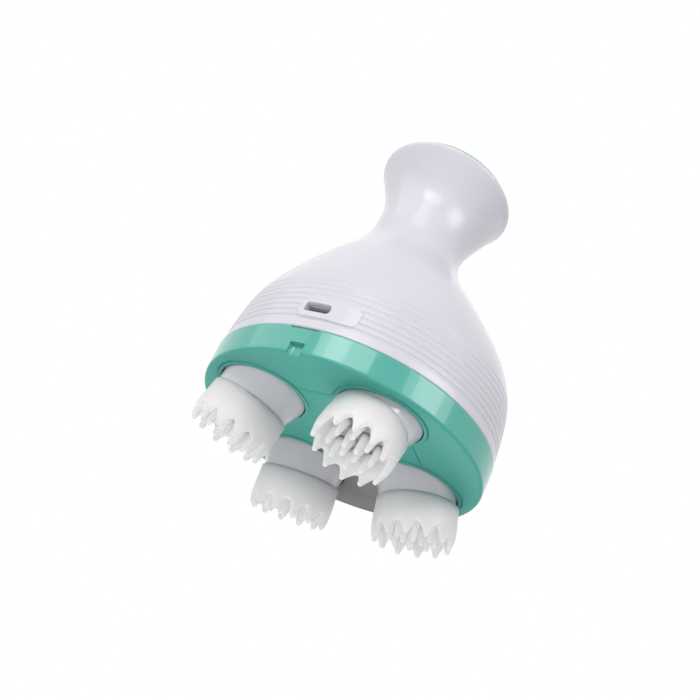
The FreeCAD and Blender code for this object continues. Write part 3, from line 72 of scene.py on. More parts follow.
def fold_faces(rows, columns, wrap_rows=False, skip=None):
    """Quads of a grid whose columns close round; skip marks cells that stay open."""
    row, column = np.meshgrid(np.arange(rows if wrap_rows else rows - 1), np.arange(columns), indexing="ij")
    above = (row + 1) % rows
    beside = (column + 1) % columns
    quads = np.stack([row * columns + column, row * columns + beside, above * columns + beside,
                      above * columns + column], axis=-1)
    return quads[~skip] if skip is not None else quads.reshape(-1, 4)


def weld(mesh, reach, thinnest=0.0):
    """Merge points within reach, drop faces thinner than the limit, where given, and turn faces outwards."""
    work = bmesh.new()
    work.from_mesh(mesh)
    bmesh.ops.remove_doubles(work, verts=work.verts, dist=reach)
    if thinnest:
        bmesh.ops.dissolve_degenerate(work, edges=work.edges, dist=thinnest)
    bmesh.ops.recalc_face_normals(work, faces=work.faces)
    work.to_mesh(mesh)
    work.free()


def make_piece(name, points, quads, body, nodes, slot, crease, inner=None, caps=()):
    """Piece from points in millimetres and quads, merged, turned outwards and smooth up to a crease.

    Where given, inner is kept on the points as an attribute that the finish reads to paint those points
    paler, a painted glow, and caps are flat ends.
    """
    mesh = bpy.data.meshes.new(name)
    place = points.reshape(-1, 3) * MILLIMETRE + np.array([0, 0, BASE_Z])
    mesh.from_pydata(place.tolist(), [], quads.tolist() + list(caps))
    if inner is not None:
        # The inner marks carry painted light: the claw finish paints the marked points paler.
        marks = mesh.attributes.new("inner", "FLOAT", "POINT")
        marks.data.foreach_set("value", np.asarray(inner, np.float32))
    weld(mesh, MERGE_REACH, THINNEST)
    dress(mesh, name, body, nodes, slot, crease)


def dress(mesh, name, body, nodes, slot, crease):
    """Object of a finished mesh that rides on a body and stands for CAD nodes."""
    mesh.polygons.foreach_set("use_smooth", np.ones(len(mesh.polygons), bool))
    mesh.set_sharp_from_angle(angle=radians(crease))
    mesh.materials.append(FINISHES[slot])
    piece = bpy.data.objects.new(name, mesh)
    bpy.context.scene.collection.objects.link(piece)
    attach(piece, body)
    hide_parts(*nodes)
    return piece


def turned(profile, count):
    """Surface of revolution: profile (radius, height) carried round Z.

    Each point (r, h) becomes (r sin a, -r cos a, h) for each angle a.
    """
    radius, height = np.asarray(profile, float).T
    angle = np.linspace(0, 2 * pi, count, endpoint=False)
    x = radius[:, None] * np.sin(angle)
    y = -radius[:, None] * np.cos(angle)
    z = np.broadcast_to(height[:, None], x.shape)
    return np.stack([x, y, z], axis=-1)


def arc(centre, radius, start, end, count):
    """Points of an arc in the (radius, height) plane, angles in degrees from the radius axis."""
    angle = np.radians(np.linspace(start, end, count))
    return np.stack([centre[0] + radius * np.cos(angle), centre[1] + radius * np.sin(angle)], axis=-1)


def leaned(points):
    """Points of the handle's top frame brought to the body: turned by the lean and moved to the top."""
    x, y, z = np.moveaxis(points, -1, 0)
    aft = -TOP_OFFSET + y * cos(LEAN) + z * sin(LEAN)
    height = TOP_HEIGHT - y * sin(LEAN) + z * cos(LEAN)
    return np.stack([x, aft, height], axis=-1)


def spline(at, value, where):
    """Natural cubic spline through (at, value), read at where.

    The second derivatives m solve h[i-1] m[i-1] + 2 (h[i-1] + h[i]) m[i] + h[i] m[i+1] = 6 (s[i] - s[i-1]),
    with h the spans and s the slopes of the chords.
    """
    at, value, where = (np.asarray(array, float) for array in (at, value, where))
    span = np.diff(at)
    slope = np.diff(value) / span
    size = len(at)
    system = np.eye(size)
    inner = np.arange(1, size - 1)
    system[inner, inner - 1] = span[:-1]
    system[inner, inner] = 2 * (span[:-1] + span[1:])
    system[inner, inner + 1] = span[1:]
    right = np.zeros(size)
    right[1:-1] = 6 * np.diff(slope)
    bend = np.linalg.solve(system, right)
    index = np.clip(np.searchsorted(at, where) - 1, 0, size - 2)
    low, high = where - at[index], at[index + 1] - where
    width = span[index]
    return (bend[index] * high ** 3 + bend[index + 1] * low ** 3) / (6 * width) \
        + (value[index] / width - bend[index] * width / 6) * high \
        + (value[index + 1] / width - bend[index + 1] * width / 6) * low


def step(value):
    """Smooth step from 0 to 1."""
    share = np.clip(value, 0, 1)
    return share * share * (3 - 2 * share)


def rounded_box(across, up, half_width, half_height, corner):
    """Signed distance to a rounded rectangle, negative inside."""
    far_x = np.abs(across) - half_width + corner
    far_y = np.abs(up) - half_height + corner
    outside = np.hypot(np.maximum(far_x, 0), np.maximum(far_y, 0))
    return outside + np.minimum(np.maximum(far_x, far_y), 0) - corner


def seen_across(radius, angle):
    """Distance to the right as seen from the front, with the points behind moved far away."""
    return radius * np.sin(angle) + 1e3 * (np.cos(angle) < 0)


# Materials

MOTTLE = 0.03
POLISH_SCALE = 260.0
POLISH_SPREAD = 0.08
GRAIN_SCALE = 2600.0
GRAIN_HEIGHT = 0.0004
CLOUD_DETAIL = 3.0
COAT_ROUGHNESS = 0.04
STREAK_STRETCH = (400, 400, 4000)
STREAK_SPREAD = 0.2
GLOW_RADIUS = (0.008, 0.008, 0.008)


class Value:
    """One output of a node, with arithmetic that adds Math nodes."""

    def __init__(self, nodes, socket):
        self.nodes = nodes
        self.socket = socket

    def __add__(self, other):
        return self.nodes.math("ADD", self, other)

    __radd__ = __add__

    def __mul__(self, other):
        return self.nodes.math("MULTIPLY", self, other)

    __rmul__ = __mul__

    def __sub__(self, other):
        return self.nodes.math("SUBTRACT", self, other)

    def __rsub__(self, other):
        return self.nodes.math("SUBTRACT", other, self)


class Nodes:
    """Node tree of a material or of the world."""

    def __init__(self, tree):
        self.tree = tree

    def node(self, kind, output=0, settings=None, **inputs):
        """Node of any kind: its settings first, then values or links for its inputs."""
        made = self.tree.nodes.new("ShaderNode" + kind)
        for key, value in (settings or {}).items():
            setattr(made, key, value)
        for key, value in inputs.items():
            self.feed(made.inputs[int(key[1:]) if key[1:].isdigit() else key.replace("_", " ")], value)
        return Value(self, made.outputs[output])

    def feed(self, socket, value):
        """Link or set one input."""
        if isinstance(value, Value):
            self.tree.links.new(value.socket, socket)
        else:
            socket.default_value = value

    def math(self, operation, first, second):
        """Math node on two values."""
        return self.node("Math", settings={"operation": operation}, _0=first, _1=second)


class Finish(Nodes):
    """Material round a Principled shader."""

    def __init__(self, name, **constants):
        self.material = bpy.data.materials.new(name)
        self.material.use_nodes = True
        super().__init__(self.material.node_tree)
        self.shader = self.tree.nodes["Principled BSDF"]
        self.set(**constants)

    def set(self, **inputs):
        """Inputs of the shader, by name with underscores for blanks."""
        for key, value in inputs.items():
            self.feed(self.shader.inputs[key.replace("_", " ")], value)

    def place(self):
        """Coordinates of the piece itself."""
        return self.node("TexCoord", output="Object")

    def noise(self, scale, detail=2.0):
        """Soft noise in the piece's own coordinates, about 0.5 in the mean."""
        return self.node("TexNoise", Vector=self.place(), Scale=scale, Detail=detail, Roughness=0.5)

    def blend(self, share, first, second):
        """Colour between two colours."""
        return self.node("Mix", output=2, settings={"data_type": "RGBA"}, Factor=share, _6=first, _7=second)

    def clouded(self, colour, scale):
        """Colour with a faint cloudiness."""
        cloud = self.noise(scale, CLOUD_DETAIL)
        return self.blend(cloud, shade(colour, 1 - MOTTLE), shade(colour, 1 + MOTTLE))

    def polish(self, roughness):
        """Roughness that is uneven about its mean."""
        self.set(Roughness=self.noise(POLISH_SCALE) * POLISH_SPREAD + (roughness - POLISH_SPREAD / 2))

    def roughen(self, strength):
        """Fine grain of the mould, as a bump."""
        height = self.noise(GRAIN_SCALE)
        self.set(Normal=self.node("Bump", Strength=strength, Distance=GRAIN_HEIGHT, Height=height))


def shade(colour, gain):
    """Colour made lighter or darker."""
    return tuple(min(1.0, part * gain) for part in colour) + (1.0,)


def moulded(name, colour, roughness, grain=0.02, coat=0.0, coat_from=None, **constants):
    """Moulded plastic or rubber: a faint cloudiness of colour, uneven polish and a fine grain.

    A coat that is polished on the sides only rises from nothing to its full weight between two heights.
    """
    finish = Finish(name, **constants)
    finish.set(Base_Color=finish.clouded(colour, 35.0))
    finish.polish(roughness)
    if coat:
        finish.set(Coat_Weight=coat, Coat_Roughness=COAT_ROUGHNESS)
    if coat_from:
        height = finish.node("SeparateXYZ", output=2, Vector=finish.place())
        finish.set(Coat_Weight=finish.node("MapRange", Value=height, From_Min=coat_from[0],
                                           From_Max=coat_from[1], To_Min=0.0, To_Max=coat))
    if grain:
        finish.roughen(grain)
    return finish.material


def translucent(name, outside, inside, roughness, grain=0.02):
    """Milky silicone: light spreads through it, and the cup's inner side, marked inner on the mesh, is
    painted paler, a painted glow that stands in for the light inside the crown.
    """
    finish = Finish(name, Subsurface_Weight=1.0, Subsurface_Radius=GLOW_RADIUS, Subsurface_Scale=1.0)
    # Painted light: the points marked inner get a paler colour, a painted glow in place of the light inside
    # the crown.
    painted_glow_mark = finish.node("Attribute", output="Fac", settings={"attribute_name": "inner"})
    finish.set(Base_Color=finish.blend(painted_glow_mark, finish.clouded(outside, 60.0), inside + (1.0,)))
    finish.polish(roughness)
    finish.roughen(grain)
    return finish.material


def machined(name, colour, roughness, metallic=1.0):
    """Turned or rolled metal with fine streaks of polish."""
    finish = Finish(name, Metallic=metallic)
    stretched = finish.node("Mapping", Vector=finish.place(), Scale=STREAK_STRETCH)
    streak = finish.node("TexNoise", Vector=stretched, Scale=1.0, Detail=2.0)
    finish.set(Base_Color=finish.blend(streak, shade(colour, 0.9), shade(colour, 1.08)),
               Roughness=streak * STREAK_SPREAD + (roughness - STREAK_SPREAD / 2))
    return finish.material


WHITE = (0.70, 0.69, 0.755)
TEAL = (0.085, 0.44, 0.366)
COLLAR_WHITE = (0.71, 0.685, 0.735)
SILICONE = (0.80, 0.765, 0.785)
# Paler colour painted on the claws' inner side and pins: painted light, not a different silicone.
SILICONE_PAINTED_GLOW = (0.93, 0.92, 0.925)
RING_COAT_FROM = (BASE_Z + 0.0002, BASE_Z + 0.0008)
FINISHES = {
    "shell_white": moulded("shell_white", WHITE, 0.24, grain=0.01, coat=0.33, Specular_IOR_Level=0.25),
    "ring_teal": moulded("ring_teal", TEAL, 0.2, grain=0.0, coat=0.55, coat_from=RING_COAT_FROM,
                         Specular_IOR_Level=0.25),
    "plate_teal": moulded("plate_teal", TEAL, 0.25, grain=0.0, Specular_IOR_Level=0.25),
    "cap_teal": moulded("cap_teal", TEAL, 0.3, grain=0.0, Specular_IOR_Level=0.2),
    "button_white": moulded("button_white", WHITE, 0.3),
    "claw_silicone": translucent("claw_silicone", SILICONE, SILICONE_PAINTED_GLOW, 0.42),
    "collar_white": moulded("collar_white", COLLAR_WHITE, 0.2, grain=0.0, coat=0.8),
    "pad_grey": moulded("pad_grey", (0.19, 0.19, 0.19), 0.6, grain=0.12),
    "seal_dark": moulded("seal_dark", (0.05, 0.05, 0.05), 0.6),
    "bush_brass": machined("bush_brass", (0.7, 0.5, 0.22), 0.3),
    "battery_wrap": moulded("battery_wrap", (0.08, 0.22, 0.5), 0.3),
    "holder_dark": moulded("holder_dark", (0.07, 0.07, 0.08), 0.5, grain=0.05),
    "motor_steel": machined("motor_steel", (0.6, 0.6, 0.6), 0.35),
    "board_green": moulded("board_green", (0.03, 0.2, 0.09), 0.35),
    "switch_dark": moulded("switch_dark", (0.04, 0.04, 0.04), 0.45),
    "socket_steel": machined("socket_steel", (0.62, 0.63, 0.64), 0.45, metallic=0.4),
    "lead_dark": moulded("lead_dark", (0.03, 0.03, 0.03), 0.45),
    "gear_plastic": moulded("gear_plastic", (0.72, 0.7, 0.62), 0.4),
    "steel": machined("steel", (0.62, 0.62, 0.63), 0.3),
}
for entry in frame["record"]["subparts"]:
    slots = frame["nodes"][entry["node"]].data.materials
    slots.clear()
    slots.append(FINISHES[entry["material_slot"]])


# Body shell

CROWN_DEPTH = 3.5
CROWN_RADIUS = 22.1
CROWN_START = (22.4, -3.02)
CROWN_TOP = [(19.5, 0.0), (16.95, 0.0)]
CROWN_HEIGHT = TOP_HEIGHT - CROWN_DEPTH * cos(LEAN)
TOP_CORNER = 24.3
TOP_ROUND = 1.4
SHELL_WALL = 2.4
HEM_MIDDLE = (47.8, 10.25)
HEM_ROUND = 0.4
# Sections of the shell from the seam to the crown; the lean is a share of the handle's.
SECTION_HEIGHT = (9.85, 14.0, 20.0, 32.0, 41.98, 52.02, 60.51, 71.01, 84.88, CROWN_HEIGHT)
SECTION_RADIUS = (48.2, 47.9, 47.3, 44.7, 38.79, 28.79, 19.9, 15.7, 18.1, CROWN_RADIUS)
SECTION_OFFSET = (0.0, 0.0, 0.0, 0.0, 1.4, 5.2, 8.2, 10.0, 8.3, TOP_OFFSET + CROWN_DEPTH * sin(LEAN))
SECTION_LEAN = (0.0, 0.0, 0.0, 0.0, 0.0, 0.3, 0.7, 1.0, 1.0, 1.0)
RELIEF_END = 32.0
RIB_HEIGHTS = 13.6 + 2.28 * np.arange(8)
RIB_DEPTHS = np.linspace(0.40, 0.28, 8)
RIB_HALF = 0.74
RIB_ROWS = np.array([-0.95, -0.76, -0.6, -0.38, 0.0, 0.38, 0.6, 0.76, 0.95])
PANEL_MIDDLE = (4.0, 17.5)
PANEL_HALF = (10.2, 3.65)
PANEL_ROUND = 2.2
PANEL_EDGE = 0.4
PANEL_RISE = 0.25
PORT_MIDDLE = 17.7
PORT_HALF = (4.45, 1.7)
PORT_ROUND = 1.2
PORT_LIP = 0.25
# Grid of the front: its radius, its columns and the cells that are left open for the port.
FRONT_RADIUS = 47.6
FRONT_COLUMNS = np.arange(-8.0, 16.01, 0.32)
WINDOW_HEIGHTS = (15.3, 20.6)
WINDOW_SIDES = np.array([-5.3, 5.3])


def flank_relief(across, height):
    """Rise of the flank: round grooves cut in at each rib height, and the port panel standing proud of them.

    A groove is d cos(pi u / 2) deep at u half widths from its middle, and it fades out at the panel's edge.
    """
    edge = rounded_box(across - PANEL_MIDDLE[0], height - PANEL_MIDDLE[1], *PANEL_HALF, PANEL_ROUND)
    panel = step(0.5 - edge / PANEL_EDGE)
    gap = np.clip(np.abs(height[..., None] - RIB_HEIGHTS) / RIB_HALF, 0, 1)
    groove = (RIB_DEPTHS * np.cos(0.5 * pi * gap)).sum(axis=-1)
    return PANEL_RISE * panel - groove * (1 - panel)


def flank_point(across, height, inset):
    """Point of the flank seen from the front: (x, -sqrt(r^2 - x^2), z), with the relief on the outer skin."""
    radius = spline(SECTION_HEIGHT, SECTION_RADIUS, height) - inset
    if not inset:
        radius = radius + flank_relief(across, height)
    return np.stack([across, -np.sqrt(radius ** 2 - across ** 2), height], axis=-1)


def crown_edge():
    """Middle of the rounding at the handle's top, and the flare's angle from the axis in degrees.

    The rounding touches the top plane and the flare: r = corner - R tan f - R / cos f at R under the top.
    """
    flare = atan2(TOP_CORNER - CROWN_RADIUS, CROWN_DEPTH)
    return (TOP_CORNER - TOP_ROUND * tan(flare) - TOP_ROUND / cos(flare), -TOP_ROUND), degrees(flare)


def shell_rows():
    """Rows of the shell from the seam to the cap's opening: height, radius, forward offset and lean."""
    hem = arc(HEM_MIDDLE, HEM_ROUND, -80, -5, 5)
    ribs = (RIB_HEIGHTS[:, None] + RIB_ROWS).ravel()
    height = np.concatenate([[10.8, 11.6], ribs, np.linspace(31.4, CROWN_HEIGHT, 58)])
    radius, offset, lean = (spline(SECTION_HEIGHT, section, height)
                            for section in (SECTION_RADIUS, SECTION_OFFSET, SECTION_LEAN))
    middle, flare = crown_edge()
    crown = np.concatenate([[CROWN_START], arc(middle, TOP_ROUND, -flare, 90, 14), CROWN_TOP])
    level = np.zeros(len(hem))
    return (np.concatenate([hem[:, 1], height, TOP_HEIGHT + crown[:, 1] * cos(LEAN)]),
            np.concatenate([hem[:, 0], radius, crown[:, 0]]),
            np.concatenate([level, offset, TOP_OFFSET - crown[:, 1] * sin(LEAN)]),
            np.concatenate([level, lean * LEAN, np.full(len(crown), LEAN)]))


def shell_skin(angle, inset):
    """One skin of the shell: circles of each row, leaned back about their own middle."""
    height, radius, offset, lean = (array[:, None] for array in shell_rows())
    flat = height + 0 * angle
    ring = radius - inset + 0 * angle
    if not inset:
        ring = ring + np.where(flat < RELIEF_END, flank_relief(seen_across(ring, angle), flat), 0)
    front = -ring * np.cos(angle)
    aft = -offset + front * np.cos(lean)
    return np.stack([ring * np.sin(angle), aft, flat - front * np.sin(lean)], axis=-1)


def port_ring(across, up, grow):
    """Points of the port's rounded outline in the directions of the given points, found by halving."""
    half_x, half_z, corner = (size + grow for size in (*PORT_HALF, PORT_ROUND))
    low = np.zeros_like(across)
    high = np.ones_like(across)
    for halving in range(40):
        middle = (low + high) / 2
        inside = rounded_box(across * middle, up * middle, half_x, half_z, corner) < 0
        low, high = np.where(inside, middle, low), np.where(inside, high, middle)
    return across * low, up * low


def port_rows(outer, inner):
    """Rows of the port's wall, between its window's borders in the outer and the inner skin.

    They run over the panel to the rounded outline, over a lip that is a quarter round, and through the wall.
    """
    across = outer[:, 0]
    up = outer[:, 2] - PORT_MIDDLE
    edge_x, edge_z = port_ring(across, up, PORT_LIP)
    rows = [outer]
    for share in (0.4, 0.75, 0.92, 1.0):
        height = up + (edge_z - up) * share + PORT_MIDDLE
        rows.append(flank_point(across + (edge_x - across) * share, height, 0.0))
    for turn in np.radians((30, 60, 90)):
        lip_x, lip_z = port_ring(across, up, PORT_LIP * (1 - sin(turn)))
        lip = flank_point(lip_x, lip_z + PORT_MIDDLE, 0.0)
        lip[:, 1] += PORT_LIP * (1 - cos(turn))
        rows.append(lip)
    return np.stack(rows + [flank_point(lip_x, lip_z + PORT_MIDDLE, SHELL_WALL), inner])


def make_shell():
    """White shell of two skins, joined at the seam, at the cap's opening and through the port."""
    fine = np.arcsin(FRONT_COLUMNS / FRONT_RADIUS)
    rest = np.linspace(fine[-1], fine[0] + 2 * pi, 180)[1:-1]
    angle = np.concatenate([fine, rest])
    outer, inner = shell_skin(angle, 0.0), shell_skin(angle, SHELL_WALL)
    rows, columns = outer.shape[:2]
    low, high = np.searchsorted(shell_rows()[0], WINDOW_HEIGHTS)
    left, right = np.searchsorted(fine, np.arcsin(WINDOW_SIDES / FRONT_RADIUS))
    skip = np.zeros((rows - 1, columns), bool)
    skip[low:high, left:right] = True
    count = rows * columns
    skin = fold_faces(rows, columns, skip=skip)
    quads = [skin, skin + count]
    for start in (0, (rows - 1) * columns):
        column = np.arange(columns)
        side = start + np.stack([column, (column + 1) % columns], axis=-1)
        quads.append(np.hstack([side, count + side[:, ::-1]]))
    border = [(low, j) for j in range(left, right)] + [(i, right) for i in range(low, high)]
    border += [(high, j) for j in range(right, left, -1)] + [(i, left) for i in range(high, low, -1)]
    window = tuple(np.array(border).T)
    port = port_rows(outer[window], inner[window])
    quads.append(fold_faces(*port.shape[:2]) + 2 * count)
    points = np.concatenate([part.reshape(-1, 3) for part in (outer, inner, port)])
    make_piece("shell", points, np.concatenate(quads), "housing", ["body_shell"], "shell_white", crease=50)


# Base ring, plate and pad

SEAM_GAP = 0.15
SEAM_EDGE = 0.2
CLOVER_SIDE = 27.4
CLOVER_LOBE = 15.76
CLOVER_FILLET = 3.0
RING_FOOT = 47.2
RING_ROUND = 1.0
RING_TOP = 9.7
RING_EDGE = 0.25
RING_BORE = 46.3
RING_FLOOR = 2.5
NOTCH_HALF = 2.5
NOTCH_DEPTH = 1.7
NOTCH_ROUND = 1.5
NOTCH_TOP = 3.9
SLOT_HALF = 4.7
SLOT_DEPTH = 1.2
SLOT_LOW = 8.95
PLATE_CREASE = 30.0
PLATE_BEVEL = 0.25
PLATE_MERGE = 1e-6
PAD_HOLE = 14.75
PAD_REACH = 46.4
PAD_FRONT = 9.5
PAD_HALF = 28.0
# Rows of the pad's side, as the distance in from its outline and the height.
PAD_ROWS = ((0.0, -0.05), (0.0, -0.65), (0.06, -0.79), (0.2, -0.85))


def clover_radius(angle):
    """Polar radius of the ring's edge at the clover seam, from the centre.

    Folded into one eighth, the line x = s runs up to the fillet, the fillet is the near crossing of the ray
    with its circle, and the lobe is the far crossing of the ray with the circle round the head.
    """
    fold = np.abs((angle + pi / 4) % (pi / 2) - pi / 4)
    side, lobe, fillet = CLOVER_SIDE + SEAM_GAP, CLOVER_LOBE + SEAM_GAP, CLOVER_FILLET - SEAM_GAP
    mid_x = side + fillet
    mid_y = HEAD_XY - np.sqrt((lobe + fillet) ** 2 - (mid_x - HEAD_XY) ** 2)
    touch = lobe / (lobe + fillet)
    touch_angle = np.arctan2(HEAD_XY + (mid_y - HEAD_XY) * touch, HEAD_XY + (mid_x - HEAD_XY) * touch)

    def crossing(x, y, radius, sign):
        along = x * np.cos(fold) + y * np.sin(fold)
        return along + sign * np.sqrt(np.maximum(along ** 2 - x ** 2 - y ** 2 + radius ** 2, 0))

    line = side / np.cos(fold)
    near = crossing(mid_x, mid_y, fillet, -1)
    far = crossing(HEAD_XY, HEAD_XY, lobe, 1)
    return np.where(fold < np.arctan2(mid_y, side), line, np.where(fold < touch_angle, near, far))


def ring_columns():
    """Angles round the ring, close together across the notch and at the ends of the pry slot."""
    beside = np.array([-0.5, -0.09, -0.03, 0.03, 0.09, 0.5])
    notch = np.linspace(-NOTCH_HALF - 0.02, NOTCH_HALF + 0.02, 41)
    across = np.concatenate([-SLOT_HALF - beside, SLOT_HALF + beside, notch, [-3.2, -2.7, 2.7, 3.2]])
    even = np.linspace(-pi, pi, 336, endpoint=False)
    return np.unique(np.round(np.concatenate([even, np.arcsin(across / RING_RADIUS)]), 6))


def notch_depth(across):
    """Depth of the front notch: a flat floor with a quarter round of radius R up to each side."""
    over = np.clip(np.abs(across) - NOTCH_HALF + NOTCH_ROUND, 0, NOTCH_ROUND)
    depth = NOTCH_DEPTH - NOTCH_ROUND + np.sqrt(NOTCH_ROUND ** 2 - over ** 2)
    return np.where(np.abs(across) < NOTCH_HALF, depth, 0)


def make_ring():
    """Teal ring: rounded lower edge, upright band with the notch and the pry slot, and the clover opening."""
    angle = ring_columns()
    seam = clover_radius(angle)
    band = [1.7, 2.6, 3.3] + [NOTCH_TOP + rise for rise in (-0.08, -0.03, 0.03, 0.08)]
    band += [4.6, 6.5, 8.4] + [SLOT_LOW + rise for rise in (-0.09, -0.03, 0.03, 0.09)]
    profile = np.concatenate([
        [(RING_FOOT, 0.0)], arc((RING_RADIUS - RING_ROUND, RING_ROUND), RING_ROUND, -90, 0, 9),
        [(RING_RADIUS, height) for height in band],
        arc((RING_RADIUS - RING_EDGE, RING_TOP - RING_EDGE), RING_EDGE, 0, 90, 5),
        [(RING_BORE, RING_TOP), (RING_BORE, RING_FLOOR)]])
    radius, height = (np.repeat(part[:, None], len(angle), axis=1) for part in profile.T)
    across = seen_across(RING_RADIUS, angle)
    outer = radius > RING_BORE
    face = RING_RADIUS * np.cos(angle)
    forward = np.maximum(np.cos(angle), 0.1)
    notch = (np.abs(across) < NOTCH_HALF) & (height < NOTCH_TOP) & outer
    slot = (np.abs(across) < SLOT_HALF) & (height > SLOT_LOW) & outer
    radius = np.where(notch, np.minimum(radius, (face - notch_depth(across)) / forward), radius)
    radius = np.where(slot, np.minimum(radius, (RING_RADIUS - SLOT_DEPTH) / forward), radius)
    radius = np.vstack([seam + SEAM_EDGE, radius, seam, seam])
    height = np.vstack([0 * seam, height, 0 * seam + RING_FLOOR, 0 * seam + SEAM_EDGE])
    points = np.stack([radius * np.sin(angle), -radius * np.cos(angle), height], axis=-1)
    quads = fold_faces(*points.shape[:2], wrap_rows=True)
    make_piece("ring", points, quads, "housing", ["base_ring"], "ring_teal", crease=40)


def make_plate():
    """Base plate: a merged copy of its CAD mesh, shaded smooth, with a small bevel along its edges."""
    mesh = frame["nodes"]["base_plate"].data.copy()
    mesh.name = "plate"
    mesh.materials.clear()
    weld(mesh, PLATE_MERGE)
    piece = dress(mesh, "plate", "housing", ["base_plate"], "plate_teal", PLATE_CREASE)
    edge = piece.modifiers.new("soft_edge", "BEVEL")
    edge.width = PLATE_BEVEL * MILLIMETRE
    edge.segments = 2
    edge.limit_method = "ANGLE"
    edge.angle_limit = radians(PLATE_CREASE)
    edge.harden_normals = True


def make_pad():
    """Rear pad: a flat outline carried down by the pad's thickness, drawn in along a rounded lower edge.

    The outline runs from the pad's front edge round each rear head's hole, (h + R cos t, h + R sin t), and
    back along an arc inside the ring, (P sin b, P cos b).
    """
    start = pi + np.arcsin((HEAD_XY - PAD_FRONT) / PAD_HOLE)
    turn = np.linspace(start, np.arccos((PAD_HALF - HEAD_XY) / PAD_HOLE), 60)
    bow = np.linspace(np.arcsin(PAD_HALF / PAD_REACH), 0, 30)
    hole = HEAD_XY + PAD_HOLE * np.stack([np.cos(turn), np.sin(turn)], axis=-1)
    right = np.concatenate([hole, PAD_REACH * np.stack([np.sin(bow), np.cos(bow)], axis=-1)])
    outline = np.concatenate([right, right[-2::-1] * [-1, 1]])
    along = np.roll(outline, -1, axis=0) - np.roll(outline, 1, axis=0)
    inward = np.stack([-along[:, 1], along[:, 0]], axis=-1) / np.hypot(*along.T)[:, None]
    count = len(outline)
    rows = np.stack([np.column_stack([outline + inward * inset, np.full(count, height)])
                     for inset, height in PAD_ROWS])
    caps = [list(range(count)), list(range(rows[:-1].size // 3, rows.size // 3))]
    quads = fold_faces(*rows.shape[:2])
    make_piece("pad", rows, quads, "housing", ["rear_pad"], "pad_grey", crease=35, caps=caps)


# Heads

RIM_DROP = 11.6
PIVOT_HEIGHT = 5.7
COLLAR_RADIUS = 14.21
COLLAR_END = 12.6
COLLAR_TOP = 2.5
COLLAR_LEVEL = -0.4
TEETH = 12
TIP_ROUND = 0.95
FLANK_START = 0.72
FLANK_END = 4.0
FLANK_WIDENING = 0.32
FLANK_POWER = 1.41
VALLEY_DEPTH = 4.35
CLAW_LENGTH = 13.69
CLAW_WALL = 2.2
CLAW_MEAN = 13.0
CLAW_RIM = 13.5
CLAW_SWELL = 0.2
CLAW_DRAW = 0.75
CLAW_THINNING = 0.36
CLAW_TAPER = 8.8
CLAW_FLOOR = 6.0
CLAW_FILLET = 1.0
EDGE_ROUND = 0.5
SOCKET_RADIUS = 8.05
SOCKET_DEPTH = 4.1
CLAW_FIT = 0.05
LIP_RADIUS = 12.62
LIP_RISE = -0.4
# Share of the cup's rows past which the points are marked inner and painted paler, as a painted glow.
PAINTED_GLOW_ROWS = 0.66
# Rings of pins: their number, their distance from the claw's axis and the turn of the first.
PIN_RINGS = ((8, 7.4, pi / 12), (4, 3.0, pi / 12))


def head_axis(head, points):
    """Points of a head's own frame, X towards its lean, brought to the body."""
    side = 1 if head.endswith("right") else -1
    aft = 1 if head.startswith("rear") else -1
    x, y, z = np.moveaxis(points, -1, 0)
    c, s = cos(radians(LEANS[head])), sin(radians(LEANS[head]))
    return np.stack([side * HEAD_XY + x * c - y * s, aft * HEAD_XY + x * s + y * c, z], axis=-1)


def claw_axis(points):
    """Points of a claw's own frame, Z down the claw's axis, brought to the head's frame.

    Half a turn less the tilt about Y, then to the collar's end on the tilted axis.
    """
    x, y, z = np.moveaxis(points, -1, 0)
    c, s = cos(pi - TILT), sin(pi - TILT)
    height = -x * s + z * c + PIVOT_HEIGHT - RIM_DROP * cos(TILT)
    return np.stack([x * c + z * s + RIM_DROP * sin(TILT), y, height], axis=-1)


def make_collar(head):
    """Collar: upright in its hole, then straight lines from a level circle to a tilted circle at its end."""
    angle = np.linspace(0, 2 * pi, 96, endpoint=False)
    circle = np.stack([np.cos(angle), np.sin(angle), 0 * angle], axis=-1)
    level = circle * COLLAR_RADIUS + [0, 0, COLLAR_LEVEL]
    end = claw_axis(circle * [-COLLAR_END, COLLAR_END, 0])
    top = [0, 0, COLLAR_TOP]
    rows = [0 * level + top, level * [1, 1, 0] + top, level * [1, 1, 0]]
    rows += [level + (end - level) * share for share in np.linspace(0, 1, 9)]
    rows.append(0 * end + end.mean(axis=0))
    points = head_axis(head, np.stack(rows))
    quads = fold_faces(*points.shape[:2])
    make_piece(f"collar_{head}", points, quads, f"head_{head}", [f"hub_{head}"], "collar_white", crease=40)


def claw_columns():
    """Angles round a claw, the depth of its free edge there and the edge's outward normal (round, down).

    A tooth is a finger. At s under its tip its half width is that of a round tip, w = R sin t at
    s = R (1 - cos t), then of a flank that widens as w = w0 + a (s - s0)^b, and the valley closes it as a
    cubic.
    """
    half = pi * CLAW_MEAN / TEETH
    tip = np.radians(np.linspace(0, 72, 6))
    flank = np.linspace(FLANK_START, FLANK_END, 8)
    width = TIP_ROUND * sin(tip[-1]) + FLANK_WIDENING * (flank - FLANK_START) ** FLANK_POWER
    close = np.linspace(0, 1, 5)[1:]
    across = np.concatenate([TIP_ROUND * np.sin(tip), width[1:], width[-1] + (half - width[-1]) * close])
    under = np.concatenate([TIP_ROUND * (1 - np.cos(tip)), flank[1:],
                            VALLEY_DEPTH + (FLANK_END - VALLEY_DEPTH) * (1 - close) ** 3])
    across = np.concatenate([-across[-2:0:-1], across])
    edge = CLAW_LENGTH - np.concatenate([under[-2:0:-1], under])
    round_arc = np.concatenate([across + 2 * half * tooth for tooth in range(TEETH)])
    depth = np.tile(edge, TEETH)
    along = np.roll(round_arc, -1) - np.roll(round_arc, 1)
    along = np.where(along < 0, along + 2 * half * TEETH, along)
    fall = np.roll(depth, -1) - np.roll(depth, 1)
    size = np.hypot(along, fall)
    return round_arc / CLAW_MEAN, depth, -fall / size, along / size


